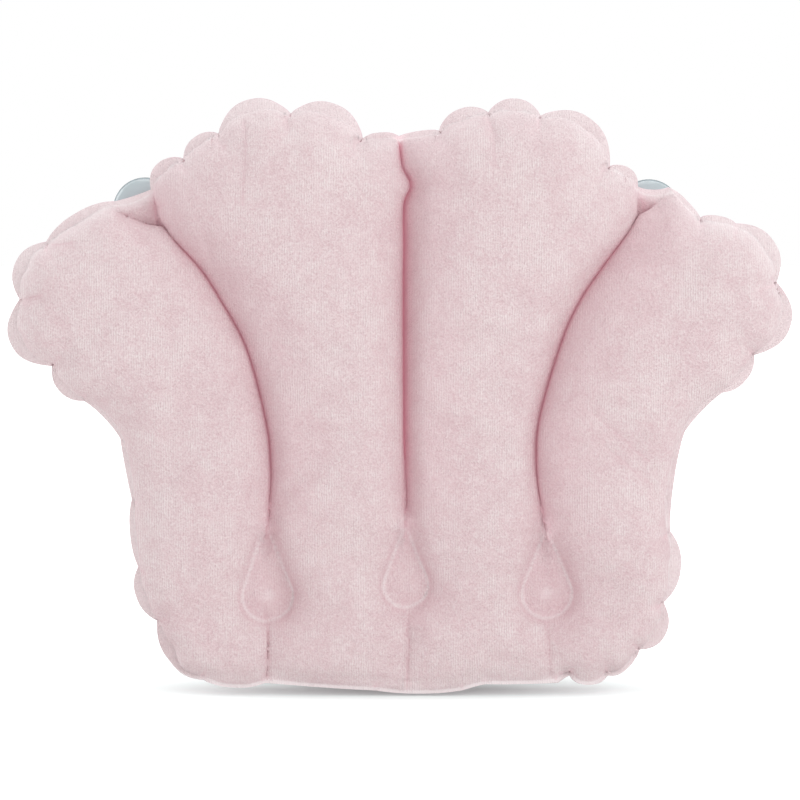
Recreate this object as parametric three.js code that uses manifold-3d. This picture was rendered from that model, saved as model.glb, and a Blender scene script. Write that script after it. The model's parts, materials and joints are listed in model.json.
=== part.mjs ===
// Inflatable bath pillow in the form of an open scallop shell, in millimetres with +Z up.
// It stands on its lower edge, its terry face looks along -Y and its suction cups look along +Y.
// A front panel of terry on airtight film and a back panel of film are welded together round the edge
// and along three seams, so the air between them swells them into four lobes.

import * as THREE from "three";
import { mergeVertices } from "three/addons/utils/BufferGeometryUtils.js";
import Module from "manifold-3d";

const wasm = await Module();
wasm.setup();

// Clearance between neighbouring pieces
const CLEARANCE = 0.3;

// Overall size, which the plan below is stretched to from the size that it is drawn at
const PILLOW_WIDTH = 422;
const PILLOW_HEIGHT = 320;
const DRAWN_WIDTH = 422;
const DRAWN_HEIGHT = 320;

// Panels
const TERRY_THICKNESS = 2;
const FILM_THICKNESS = 0.4;
const FRONT_RISE = 40; // how far an endless lobe of full width swells forwards of the weld
const REAR_RISE = 32; // and backwards
const FULL_LOBE_WIDTH = 73; // width of a lobe that swells by the full rise
const HEM_WIDTH = 5; // from the cut edge to the foot of the swelling
const SEAM_WIDTH = 2;
const CREASE_SOFTNESS = 7; // the panels part this far at the creases under the teardrops
const STEEPEST = 0.35; // cosine of the steepest slope that a sheet keeps its thickness on

// Edge of the pillow from the front, anticlockwise from the notch over the middle seam.
// Each row is a notch (x, z) and how far the edge swells out on its way to the next notch.
// What lies below zero is pressed flat by the surface that the pillow stands on.
const EDGE_NOTCHES = [
  [-1.6, 299.7, 2.7],
  [-21.1, 298.6, 12.4],
  [-59.9, 312.1, 13],
  [-98.8, 301.3, 5.9],
  [-117.2, 287.8, 7.6],
  [-133.9, 271.6, -0.5],
  [-154.4, 264.6, 5.4],
  [-191.7, 243, 10.3],
  [-206.3, 212.2, 14.6],
  [-189, 176, 5.9],
  [-171.7, 157.1, -1.4],
  [-152.3, 136.6, 0.4],
  [-146.3, 103.7, 2.7],
  [-143.1, 67, 6.5],
  [-132.8, 37.8, 8.1],
  [-106.9, 7, 3.2],
  [-81.5, -4.5, 3.5],
  [34.6, -6.5, 5],
  [89.6, 9.5, 5.9],
  [110.7, 10.3, 4.3],
  [128.5, 22.1, 8.6],
  [142, 47.5, 7.6],
  [145.3, 86.4, -2.2],
  [152.8, 140.4, -1.1],
  [172.8, 161.5, 5.4],
  [190.1, 182, 14],
  [202, 221.4, 11.3],
  [179.8, 252.7, 2.7],
  [160.4, 256, 1.1],
  [143.6, 272.2, -1.6],
  [125.8, 272.7, 5.4],
  [111.2, 283.5, 14.6],
  [74.5, 311, 8.1],
  [46.4, 312.7, 7],
  [20, 302.9, 1.1],
];

// Weld seams from their tops down to the middle of the teardrop that ends each of them
const SIDE_TEARDROP_RADIUS = 13.5;
const MIDDLE_TEARDROP_RADIUS = 12;
const SEAMS = [
  {
    teardropRadius: SIDE_TEARDROP_RADIUS,
    route: [
      [-131.9, 269.8],
      [-127, 250],
      [-108.8, 228.9],
      [-98, 212.2],
      [-84.5, 186.9],
      [-74.5, 150],
      [-71.6, 124.9],
      [-73.5, 90],
      [-72.2, 53.3],
    ],
  },
  {
    teardropRadius: MIDDLE_TEARDROP_RADIUS,
    route: [
      [-1.6, 298.3],
      [2.5, 273],
      [0.5, 211],
      [1.1, 114],
      [2.2, 59.2],
    ],
  },
  {
    teardropRadius: SIDE_TEARDROP_RADIUS,
    route: [
      [126, 269.8],
      [126, 255],
      [107.7, 229.4],
      [95.9, 211.6],
      [86.2, 189.6],
      [74.8, 150],
      [73.2, 124.9],
      [77.5, 90],
      [78.1, 54.9],
    ],
  },
];

// Suction cups, which hang behind the flat webs at the tops of the outer seams
const CUPS = {
  left: [-140, 259],
  right: [134.5, 258],
};
const CUP_REACH = 32; // from the weld to the plane of the cups' rims
const CUP_RADIUS = 17.5;
const CUP_DEPTH = 8.4;
const CUP_WALL = 1.8;
const CUP_LIP_WIDTH = 1.4;
const CUP_LIP_THICKNESS = 0.8;
const CUP_SHOULDER_RADIUS = 5;
const CUP_NECK_RADIUS = 3;
const CUP_HEAD_RADIUS = 5;
const CUP_HEAD_HEIGHT = 3.2;
const CUP_HEAD_CHAMFER = 1.6;

// Tabs that carry the cups
const TAB_WIDTH = 14;
const TAB_THICKNESS = 1.2;
const TAB_ROOT_RADIUS = 1;
const TAB_HEADROOM = 0.9; // from the head of the cup up to the tab

// Valve on the back of the right inner lobe
const VALVE_X = 37;
const VALVE_Z = 118;
const FLANGE_RADIUS = 11.5;
const FLANGE_THICKNESS = 1.2;
const BOSS_WALL = 2;
const BOSS_HEIGHT = 2.4;
const STEM_RADIUS = 4.8;
const STEM_BORE_RADIUS = 3;
const STEM_LIP_RADIUS = 6.4;
const STEM_LIP_HEIGHT = 1.4;
const STEM_BEAD_RADIUS = 6;
const STEM_BEAD_HEIGHT = 1.4;
const STEM_TRAVEL = 8; // how far the stem pulls out
const STEM_SLACK = 1.6; // room between the pulled-out bead and the curved panel
const FLAP_THICKNESS = 0.8;
const FLAP_RADIUS = 4;
const PLUG_RADIUS = 6;
const PLUG_THICKNESS = 2;
const PLUG_CHAMFER = 0.8;
const PLUG_NOSE_RADIUS = 2.4;
const PLUG_TIP_RADIUS = 1.5;
const PLUG_NOSE_LENGTH = 4;
const STRAP_WIDTH = 4;
const STRAP_LENGTH = 2.6; // from the plug's rim to the hinge
const STRAP_THICKNESS = 1.2;

// Fineness of the faceted forms
const EDGE_STEPS = 3; // least facets from notch to notch
const EDGE_PITCH = 15; // and their length on the long stretches
const SEAM_PITCH = 13;
const SHOULDER_RUN = 8; // from a weld to the points beside it
const LOBE_PITCH = 18.2;
const WELD_SPACING = 5.6; // least distance between points near the welds and the hem
const LOBE_SPACING = 11.3; // and from the lobes' points to the rest
const EDGE_MARGIN = 4; // least distance of inner points from the edge
const CUP_BENDS = 5; // facets down the cup's dome and hollow
const RING_STEPS = 10;
const ROUND_STEPS = 24;

const FRONT = -1;
const REAR = 1;

// The tab's root lies above the head of the cup, and the flat web reaches past both of its ends
const TAB_DROP = CUP_HEAD_RADIUS + TAB_HEADROOM + TAB_THICKNESS / 2;
const ROOT_CORNER = Math.hypot(TAB_WIDTH / 2, TAB_DROP + TAB_ROOT_RADIUS);
const WEB_RADIUS = ROOT_CORNER / Math.cos(Math.PI / RING_STEPS) + CLEARANCE;

// Thickness of the sheets on each side of the weld's middle
const FRONT_STACK = TERRY_THICKNESS + FILM_THICKNESS + CLEARANCE * 1.5;
const REAR_STACK = FILM_THICKNESS + CLEARANCE / 2;

const materials = {
  terry: { color: "#e5d2d5", roughness: 0.95 },
  film: { color: "#e9d3d8", roughness: 0.45 },
  cup: { color: "#bccdd2", roughness: 0.25 },
  valve: { color: "#eadde0", roughness: 0.4 },
};

// Shared helpers

function namedMesh(name, geometry, look) {
  const material = new THREE.MeshStandardMaterial({ ...materials[look], metalness: 0 });
  const mesh = new THREE.Mesh(geometry, material);
  mesh.name = name;
  return mesh;
}

function solid(geometry) {
  const bare = geometry.clone();
  bare.deleteAttribute("normal");
  bare.deleteAttribute("uv");
  const merged = mergeVertices(bare, 1e-4);
  const mesh = new wasm.Mesh({
    numProp: 3,
    vertProperties: merged.attributes.position.array,
    triVerts: new Uint32Array(merged.index.array),
  });
  return new wasm.Manifold(mesh);
}

function geometryOf(body) {
  const mesh = body.getMesh();
  const geometry = new THREE.BufferGeometry();
  geometry.setAttribute("position", new THREE.BufferAttribute(mesh.vertProperties, 3));
  geometry.setIndex(new THREE.BufferAttribute(mesh.triVerts, 1));
  return geometry;
}

// Round bar along Y from one depth to another
function bar(radius, from, to) {
  const geometry = new THREE.CylinderGeometry(radius, radius, to - from, ROUND_STEPS);
  return geometry.translate(0, (from + to) / 2, 0);
}

function turned(profile) {
  const points = profile.map(([radius, depth]) => new THREE.Vector2(radius, depth));
  return new THREE.LatheGeometry(points, ROUND_STEPS);
}

function block(width, depth, height) {
  return new THREE.BoxGeometry(width, depth, height);
}

// Outline and welds, in the plane of the weld with x across and y up

// Point of the drawn plan on the pillow
function onPillow([x, z]) {
  return new THREE.Vector2((x * PILLOW_WIDTH) / DRAWN_WIDTH, (z * PILLOW_HEIGHT) / DRAWN_HEIGHT);
}

// Arc from one notch to the next, without its last point
function scallop(notch, next) {
  const [, , swell] = notch;
  const from = onPillow(notch);
  const to = onPillow(next);
  const chord = to.clone().sub(from);
  const outward = new THREE.Vector2(chord.y, -chord.x).normalize();
  const steps = Math.max(EDGE_STEPS, Math.round(chord.length() / EDGE_PITCH));
  const points = [];
  for (let step = 0; step < steps; step += 1) {
    const share = step / steps;
    const bow = 4 * share * (1 - share) * swell;
    points.push(from.clone().addScaledVector(chord, share).addScaledVector(outward, bow));
  }
  return points;
}

function edgeLoop() {
  const following = (index) => EDGE_NOTCHES[(index + 1) % EDGE_NOTCHES.length];
  return EDGE_NOTCHES.flatMap((notch, index) => scallop(notch, following(index)));
}

function distanceToSegment(point, from, to) {
  const along = to.clone().sub(from);
  const reach = point.clone().sub(from);
  const share = THREE.MathUtils.clamp(reach.dot(along) / along.lengthSq(), 0, 1);
  return reach.addScaledVector(along, -share).length();
}

function distanceToRoute(point, route) {
  let least = Infinity;
  for (let index = 1; index < route.length; index += 1) {
    least = Math.min(least, distanceToSegment(point, route[index - 1], route[index]));
  }
  return least;
}

const edge = edgeLoop();
const closedEdge = [...edge, edge[0]];
const webs = Object.values(CUPS).map(onPillow);

const welds = SEAMS.map(({ route, teardropRadius }) => {
  const curve = new THREE.SplineCurve(route.map(onPillow));
  const points = curve.getSpacedPoints(Math.round(curve.getLength() / SEAM_PITCH));
  const heart = points.at(-1);
  const foot = new THREE.Vector2(heart.x, Math.min(...edge.map((point) => point.y)));
  return { points, heart, teardropRadius, crease: [heart, foot] };
});

function weldClearance(point, weld) {
  const seam = distanceToRoute(point, weld.points) - SEAM_WIDTH / 2;
  const teardrop = point.distanceTo(weld.heart) - weld.teardropRadius;
  return Math.max(0, Math.min(seam, teardrop));
}

function webClearance(point) {
  const gaps = webs.map((web) => point.distanceTo(web) - WEB_RADIUS);
  return Math.max(0, Math.min(...gaps));
}

// How far the lobes swell at a point, from 0 on a weld to 1 at the crown of a full-width lobe.
// Across a strip between two welds this makes half an ellipse.
function swell(point) {
  const clearances = [distanceToRoute(point, closedEdge), webClearance(point)];
  for (const weld of welds) {
    clearances.push(weldClearance(point, weld));
    clearances.push(distanceToRoute(point, weld.crease) + CREASE_SOFTNESS);
  }
  const crowding = clearances.reduce((total, gap) => total + 1 / gap, 0);
  return Math.sqrt(4 / (crowding * FULL_LOBE_WIDTH));
}

// Plan of the panels: points and triangles that both panels share

function isInside(point) {
  let inside = false;
  for (let index = 1; index < closedEdge.length; index += 1) {
    const from = closedEdge[index - 1];
    const to = closedEdge[index];
    const crosses = from.y > point.y !== to.y > point.y;
    const crossing = from.x + ((point.y - from.y) / (to.y - from.y)) * (to.x - from.x);
    if (crosses && point.x < crossing) inside = !inside;
  }
  return inside;
}

// The foot of the swelling, one hem width inside the edge
function hemLine() {
  return edge.map((point, index) => {
    const before = edge.at(index - 1);
    const after = edge[(index + 1) % edge.length];
    const along = after.clone().sub(before).normalize();
    return point.clone().add(new THREE.Vector2(-along.y, along.x).multiplyScalar(HEM_WIDTH));
  });
}

function ring(centre, radius) {
  const points = [];
  for (let step = 0; step < RING_STEPS; step += 1) {
    const angle = (step / RING_STEPS + 0.25) * 2 * Math.PI; // from the top
    points.push(new THREE.Vector2(Math.cos(angle), Math.sin(angle)).multiplyScalar(radius).add(centre));
  }
  return points;
}

// Staggered rows that fill the lobes
function lobeLattice() {
  const box = new THREE.Box2().setFromPoints(edge);
  const rowPitch = LOBE_PITCH * Math.sin(Math.PI / 3);
  const points = [];
  for (let row = 0; box.min.y + row * rowPitch < box.max.y; row += 1) {
    const start = box.min.x + (row % 2) * (LOBE_PITCH / 2);
    for (let x = start; x < box.max.x; x += LOBE_PITCH) {
      points.push(new THREE.Vector2(x, box.min.y + row * rowPitch));
    }
  }
  return points;
}

// Keeps the candidates that lie inside the edge and clear of it and of what is kept already
function addClear(kept, candidates, gap) {
  for (const point of candidates) {
    const free = kept.every((other) => other.distanceTo(point) > gap);
    if (free && isInside(point) && distanceToRoute(point, closedEdge) > EDGE_MARGIN) kept.push(point);
  }
}

// Points on both sides of a seam, where the lobes have risen steeply
function seamShoulders(seam) {
  const points = [];
  for (let index = 1; index < seam.length; index += 1) {
    const along = seam[index].clone().sub(seam[index - 1]).normalize();
    const across = new THREE.Vector2(-along.y, along.x);
    const middle = seam[index].clone().lerp(seam[index - 1], 0.5);
    points.push(middle.clone().addScaledVector(across, SHOULDER_RUN));
    points.push(middle.clone().addScaledVector(across, -SHOULDER_RUN));
  }
  return points;
}

function innerPoints() {
  const kept = [];
  for (const web of webs) addClear(kept, [web, ...ring(web, WEB_RADIUS)], 0);
  for (const { points, heart, teardropRadius } of welds) {
    addClear(kept, [heart, ...ring(heart, teardropRadius)], 0);
    const seam = points.filter((point) => point.distanceTo(heart) > teardropRadius + WELD_SPACING);
    addClear(kept, seam, WELD_SPACING);
    addClear(kept, seamShoulders(seam), WELD_SPACING);
    addClear(kept, ring(heart, teardropRadius + SHOULDER_RUN), WELD_SPACING);
  }
  addClear(kept, hemLine(), WELD_SPACING);
  addClear(kept, lobeLattice(), LOBE_SPACING);
  return kept;
}

// Whether a point lies in the circle through the three corners of a triangle
function inCircle(point, [a, b, c]) {
  const rows = [a, b, c].map((corner) => corner.clone().sub(point));
  const [p, q, r] = rows;
  const squares = rows.map((row) => row.lengthSq());
  const sum = squares[0] * q.cross(r) - squares[1] * p.cross(r) + squares[2] * p.cross(q);
  return sum > 1e-6;
}

// Turns the diagonals of neighbouring triangles until no triangle is needlessly thin
function evenOut(points, faces) {
  let turns = 1;
  while (turns > 0) {
    turns = 0;
    const owner = new Map();
    faces.forEach((face, index) => {
      face.forEach((corner, place) => owner.set(`${corner} ${face[(place + 1) % 3]}`, index));
    });
    const turned = new Set();
    faces.forEach((face, index) => {
      for (let place = 0; place < 3; place += 1) {
        const [from, to, apex] = [0, 1, 2].map((step) => face[(place + step) % 3]);
        const twin = owner.get(`${to} ${from}`);
        if (twin === undefined || turned.has(twin) || turned.has(index)) continue;
        const far = faces[twin].find((corner) => corner !== from && corner !== to);
        if (!inCircle(points[far], face.map((corner) => points[corner]))) continue;
        faces[index] = [apex, from, far];
        faces[twin] = [far, to, apex];
        turned.add(index).add(twin);
        turns += 1;
        break;
      }
    });
  }
  return faces;
}

// Splits the triangle that holds a point into three
function splitAt(points, faces, index) {
  const holds = (face) =>
    face.every((corner, place) => {
      const along = points[face[(place + 1) % 3]].clone().sub(points[corner]);
      return along.cross(points[index].clone().sub(points[corner])) >= 0;
    });
  const home = faces.findIndex(holds);
  const [a, b, c] = faces[home];
  faces.splice(home, 1, [a, b, index], [b, c, index], [c, a, index]);
}

function panelPlan() {
  const inner = innerPoints();
  const points = [...edge, ...inner];
  const faces = THREE.ShapeUtils.triangulateShape(edge, []);
  inner.forEach((point, place) => splitAt(points, faces, edge.length + place));
  const swells = points.map((point, index) => (index < edge.length ? 0 : swell(point)));
  return { points, faces: evenOut(points, faces), swells };
}

const plan = panelPlan();

// The weld's plane lies where it centres the whole depth on the origin
const FRONT_REACH = FRONT_RISE * Math.max(...plan.swells) + FRONT_STACK;
const WELD_Y = (FRONT_REACH - CUP_REACH) / 2;

// Panels

function panelGeometry(vertices, faces) {
  const geometry = new THREE.BufferGeometry().setFromPoints(vertices);
  geometry.setIndex(faces.flat());
  return geometry;
}

// Points of a panel at a depth below its outer face, with walls kept as thick as the crowns
function panelLayer(side, depth) {
  const rise = side === FRONT ? FRONT_RISE : REAR_RISE;
  const stack = side === FRONT ? FRONT_STACK : REAR_STACK;
  const heights = plan.swells.map((share) => rise * share);
  const face = plan.points.map(({ x, y }, index) => new THREE.Vector3(x, side * heights[index], y));
  const skin = panelGeometry(face, plan.faces);
  skin.computeVertexNormals();
  const normals = skin.getAttribute("normal");
  return face.map((point, index) => {
    const height = heights[index];
    const lean = Math.min(1 / Math.max(STEEPEST, Math.abs(normals.getY(index))), 1 + height / stack);
    const y = WELD_Y + side * (stack + height - depth * lean);
    return new THREE.Vector3(point.x, y, Math.max(point.z, depth));
  });
}

// A closed sheet between two depths below a panel's outer face
function panelSheet(side, outerDepth, innerDepth) {
  const outer = panelLayer(side, outerDepth);
  const inner = panelLayer(side, innerDepth);
  const count = outer.length;
  const faces = [];
  for (const [a, b, c] of plan.faces) {
    faces.push([a, b, c], [c + count, b + count, a + count]);
  }
  edge.forEach((point, index) => {
    const next = (index + 1) % edge.length;
    faces.push([next, index, index + count], [next, index + count, next + count]);
  });
  const outwards = side === FRONT ? faces : faces.map((face) => face.toReversed());
  return panelGeometry([...outer, ...inner], outwards);
}

function terryCover() {
  return panelSheet(FRONT, 0, TERRY_THICKNESS);
}

function frontFilm() {
  const depth = TERRY_THICKNESS + CLEARANCE;
  return panelSheet(FRONT, depth, depth + FILM_THICKNESS);
}

function backFilm(valveY) {
  const hole = bar(STEM_RADIUS + CLEARANCE, WELD_Y, valveY + BOSS_HEIGHT).translate(VALVE_X, 0, VALVE_Z);
  return geometryOf(solid(panelSheet(REAR, 0, FILM_THICKNESS)).subtract(solid(hole)));
}

// Depth of the back panel's outer face at the middle of the valve
function valveSeat() {
  const depths = panelLayer(REAR, 0).map((point) => point.y);
  const spot = new THREE.Vector3(VALVE_X, VALVE_Z, 0);
  for (const face of plan.faces) {
    const corners = face.map((index) => new THREE.Vector3(plan.points[index].x, plan.points[index].y, 0));
    const triangle = new THREE.Triangle(...corners);
    if (!triangle.containsPoint(spot)) continue;
    const shares = triangle.getBarycoord(spot, new THREE.Vector3());
    return shares.dot(new THREE.Vector3(...face.map((index) => depths[index])));
  }
  throw new Error("The valve lies outside the back panel");
}

// Suction cups and their tabs

function cupProfile() {
  const bends = Array.from({ length: CUP_BENDS + 1 }, (_, step) => (step / CUP_BENDS) * (Math.PI / 2));
  const domeRun = CUP_RADIUS - CUP_SHOULDER_RADIUS;
  const domeRise = CUP_DEPTH - CUP_LIP_THICKNESS;
  const headFoot = CUP_DEPTH + TAB_THICKNESS + CLEARANCE * 2;
  const headTop = headFoot + CUP_HEAD_HEIGHT;
  const head = [
    [0, headTop],
    [CUP_HEAD_RADIUS - CUP_HEAD_CHAMFER, headTop],
    [CUP_HEAD_RADIUS, headTop - CUP_HEAD_CHAMFER],
    [CUP_HEAD_RADIUS, headFoot],
    [CUP_NECK_RADIUS, headFoot],
    [CUP_NECK_RADIUS, CUP_DEPTH],
  ];
  const dome = bends.map((bend) => [
    CUP_SHOULDER_RADIUS + domeRun * Math.sin(bend),
    CUP_LIP_THICKNESS + domeRise * Math.cos(bend),
  ]);
  const hollow = bends.map((bend) => [
    (CUP_RADIUS - CUP_LIP_WIDTH) * Math.cos(bend),
    (CUP_DEPTH - CUP_WALL) * Math.sin(bend),
  ]);
  hollow.at(-1)[0] = 0;
  const profile = [...head, ...dome, [CUP_RADIUS, 0], ...hollow];
  return profile.map(([radius, height]) => [radius, WELD_Y + CUP_REACH - height]);
}

function suctionCup() {
  return turned(cupProfile());
}

// A plate with a button hole, hung from a shelf that is rooted on the web
function cupTab() {
  const plateY = WELD_Y + CUP_REACH - CUP_DEPTH - CLEARANCE - TAB_THICKNESS / 2;
  const rootY = WELD_Y + REAR_STACK + CLEARANCE + TAB_ROOT_RADIUS;
  const half = TAB_WIDTH / 2;
  const top = TAB_DROP + TAB_THICKNESS / 2;
  const outline = new THREE.Shape();
  outline.moveTo(half, top);
  outline.lineTo(-half, top);
  outline.absarc(0, 0, half, Math.PI, 2 * Math.PI);
  outline.closePath();
  const buttonHole = new THREE.Path().absarc(0, 0, CUP_NECK_RADIUS + CLEARANCE, 0, 2 * Math.PI, true);
  outline.holes.push(buttonHole);
  const plate = new THREE.ExtrudeGeometry(outline, {
    depth: TAB_THICKNESS,
    bevelEnabled: false,
    curveSegments: ROUND_STEPS / 2,
  });
  plate.translate(0, 0, -TAB_THICKNESS / 2).rotateX(Math.PI / 2).translate(0, plateY, 0);
  const shelfRun = plateY - rootY;
  const shelf = block(TAB_WIDTH, shelfRun, TAB_THICKNESS).translate(0, rootY + shelfRun / 2, TAB_DROP);
  const root = bar(TAB_ROOT_RADIUS, -half, half).rotateZ(Math.PI / 2).translate(0, rootY, TAB_DROP);
  return geometryOf(solid(plate).add(solid(shelf)).add(solid(root)));
}

// Valve pieces, turned about the Y axis through the middle of the valve.
// Their depths are counted backwards from the panel's outer face.

const LIP_FOOT = BOSS_HEIGHT + CLEARANCE;
const LIP_TOP = LIP_FOOT + STEM_LIP_HEIGHT;
const BEAD_TOP = -(STEM_TRAVEL + FILM_THICKNESS + STEM_SLACK);
const STEM_END = BEAD_TOP - STEM_BEAD_HEIGHT;
const PLUG_FOOT = LIP_TOP + CLEARANCE;
const HINGE_RUN = PLUG_RADIUS + CLEARANCE + STRAP_LENGTH;

function valveBase() {
  const washerDepth = -CLEARANCE - FLANGE_THICKNESS;
  const reach = REAR_RISE;
  const atValve = (geometry) => geometry.translate(VALVE_X, valveY, VALVE_Z);
  const washer = solid(panelSheet(REAR, washerDepth, -CLEARANCE));
  const underside = solid(panelSheet(REAR, -CLEARANCE, reach));
  const column = solid(atValve(bar(FLANGE_RADIUS, -reach, reach)));
  const bossRadius = STEM_RADIUS + CLEARANCE + BOSS_WALL;
  const boss = solid(atValve(bar(bossRadius, -BOSS_HEIGHT, BOSS_HEIGHT))).subtract(underside);
  const bore = solid(atValve(bar(STEM_RADIUS + CLEARANCE, -reach, reach)));
  const base = washer.intersect(column).add(boss).subtract(bore);
  return geometryOf(base).translate(-VALVE_X, -valveY, -VALVE_Z);
}

function valveStem() {
  const tube = turned([
    [STEM_BORE_RADIUS, STEM_END],
    [STEM_BEAD_RADIUS, STEM_END],
    [STEM_BEAD_RADIUS, BEAD_TOP],
    [STEM_RADIUS, BEAD_TOP],
    [STEM_RADIUS, LIP_FOOT],
    [STEM_LIP_RADIUS, LIP_FOOT],
    [STEM_LIP_RADIUS, LIP_TOP],
    [STEM_BORE_RADIUS, LIP_TOP],
    [STEM_BORE_RADIUS, STEM_END],
  ]);
  const earRun = HINGE_RUN + STRAP_THICKNESS / 2 - STEM_RADIUS;
  const ear = block(STRAP_WIDTH, STEM_LIP_HEIGHT, earRun);
  ear.translate(0, (LIP_FOOT + LIP_TOP) / 2, STEM_RADIUS + earRun / 2);
  return geometryOf(solid(tube).add(solid(ear)));
}

// A flap that hangs from its upper edge against the inner end of the stem
function valveFlap() {
  const outline = new THREE.Shape();
  outline.moveTo(FLAP_RADIUS, STEM_RADIUS);
  outline.lineTo(-FLAP_RADIUS, STEM_RADIUS);
  outline.absarc(0, 0, FLAP_RADIUS, Math.PI, 2 * Math.PI);
  outline.closePath();
  const flap = new THREE.ExtrudeGeometry(outline, {
    depth: FLAP_THICKNESS,
    bevelEnabled: false,
    curveSegments: ROUND_STEPS / 2,
  });
  return flap.rotateX(Math.PI / 2).translate(0, STEM_END - CLEARANCE, 0);
}

function valvePlug() {
  const tip = PLUG_FOOT - PLUG_NOSE_LENGTH;
  return turned([
    [0, tip],
    [PLUG_TIP_RADIUS, tip],
    [PLUG_NOSE_RADIUS, PLUG_FOOT],
    [PLUG_RADIUS, PLUG_FOOT],
    [PLUG_RADIUS, PLUG_FOOT + PLUG_THICKNESS - PLUG_CHAMFER],
    [PLUG_RADIUS - PLUG_CHAMFER, PLUG_FOOT + PLUG_THICKNESS],
    [0, PLUG_FOOT + PLUG_THICKNESS],
  ]);
}

function valveStrap() {
  const strap = block(STRAP_WIDTH, STRAP_THICKNESS, STRAP_LENGTH);
  return strap.translate(0, PLUG_FOOT + STRAP_THICKNESS / 2, HINGE_RUN - STRAP_LENGTH / 2);
}

// Assembly

const valveY = valveSeat();
const pillow = new THREE.Group();

pillow.add(namedMesh("terry_cover", terryCover(), "terry"));
pillow.add(namedMesh("front_film", frontFilm(), "film"));
pillow.add(namedMesh("back_film", backFilm(valveY), "film"));

for (const [side, place] of Object.entries(CUPS)) {
  const { x, y: z } = onPillow(place);
  const hanger = new THREE.Group();
  hanger.position.set(x, 0, z);
  hanger.add(namedMesh(`cup_tab_${side}`, cupTab(), "film"));
  hanger.add(namedMesh(`suction_cup_${side}`, suctionCup(), "cup"));
  pillow.add(hanger);
}

const valve = new THREE.Group();
valve.position.set(VALVE_X, valveY, VALVE_Z);
valve.add(namedMesh("valve_base", valveBase(), "valve"));
valve.add(namedMesh("valve_stem", valveStem(), "valve"));
valve.add(namedMesh("valve_flap", valveFlap(), "valve"));
valve.add(namedMesh("valve_plug", valvePlug(), "valve"));
valve.add(namedMesh("valve_strap", valveStrap(), "valve"));
pillow.add(valve);

export default pillow;
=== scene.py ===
"""Inflatable bath pillow in the form of an open scallop shell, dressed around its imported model.

The pillow has a face of brushed terry and a back of plain film, welded together round a scalloped hem
and along three seams that end in teardrops. Two suction cups hang on tabs behind its upper corners, and
an air valve with a stopper sits on the back. Plans are drawn in millimetres, seen from the front with x
to the right and z up, and meshes are in metres.
"""

from __future__ import annotations

import json
import logging
import math
from dataclasses import dataclass
from enum import Enum
from functools import partial
from typing import Any, Iterable, Sequence

import bmesh
import bpy
import numpy as np
from mathutils import Matrix, Vector, noise
from mathutils.bvhtree import BVHTree
from mathutils.geometry import delaunay_2d_cdt, interpolate_bezier

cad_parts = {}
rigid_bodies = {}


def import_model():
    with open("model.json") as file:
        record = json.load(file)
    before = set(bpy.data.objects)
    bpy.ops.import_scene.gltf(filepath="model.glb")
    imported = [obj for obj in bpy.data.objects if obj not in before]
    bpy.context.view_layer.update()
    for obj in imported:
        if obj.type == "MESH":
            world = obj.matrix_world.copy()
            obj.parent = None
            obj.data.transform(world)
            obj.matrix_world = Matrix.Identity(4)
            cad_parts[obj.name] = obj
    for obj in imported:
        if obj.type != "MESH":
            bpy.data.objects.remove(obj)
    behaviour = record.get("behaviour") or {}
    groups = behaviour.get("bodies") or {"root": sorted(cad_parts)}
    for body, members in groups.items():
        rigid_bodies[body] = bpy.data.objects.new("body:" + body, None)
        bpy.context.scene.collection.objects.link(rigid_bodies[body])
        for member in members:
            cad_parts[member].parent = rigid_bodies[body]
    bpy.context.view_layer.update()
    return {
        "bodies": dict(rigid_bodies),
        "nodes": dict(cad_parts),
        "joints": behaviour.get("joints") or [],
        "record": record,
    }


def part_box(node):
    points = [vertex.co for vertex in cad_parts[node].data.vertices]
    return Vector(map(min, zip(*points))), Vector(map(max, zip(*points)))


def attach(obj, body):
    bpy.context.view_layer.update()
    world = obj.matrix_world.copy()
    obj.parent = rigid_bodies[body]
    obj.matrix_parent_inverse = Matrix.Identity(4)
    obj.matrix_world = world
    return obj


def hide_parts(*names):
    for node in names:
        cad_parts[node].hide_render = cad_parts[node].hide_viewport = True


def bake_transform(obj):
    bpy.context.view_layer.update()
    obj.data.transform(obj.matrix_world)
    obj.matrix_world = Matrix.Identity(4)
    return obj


LOG = logging.getLogger("bath_pillow")
MM = 0.001
WOBBLE_SEED = 4

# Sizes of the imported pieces: where the valve sits and its hole, how far the stopper stands out over the
# film, and the walls of the two panels
VALVE_HEIGHT = 118.0
VALVE_HOLE = 5.1
STOPPER_RISE = 6.4
TERRY_WALL = 2.0
FILM_WALL = 0.4

# How far from the hole, as a share of its radius, and from the welds and folds the rows of points lie
HOLE_ROWS = (1.0, 1.2, 1.5)
HEM_ROWS = (0.7, 1.5)
TEARDROP_ROWS = (0.0, -0.6, 0.6, -1.3, 1.3, -2.3, 2.2, 3.2, 4.6, 6.0)
FOLD_ROWS = (0.0, 0.7, 1.5, 2.6)

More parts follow.
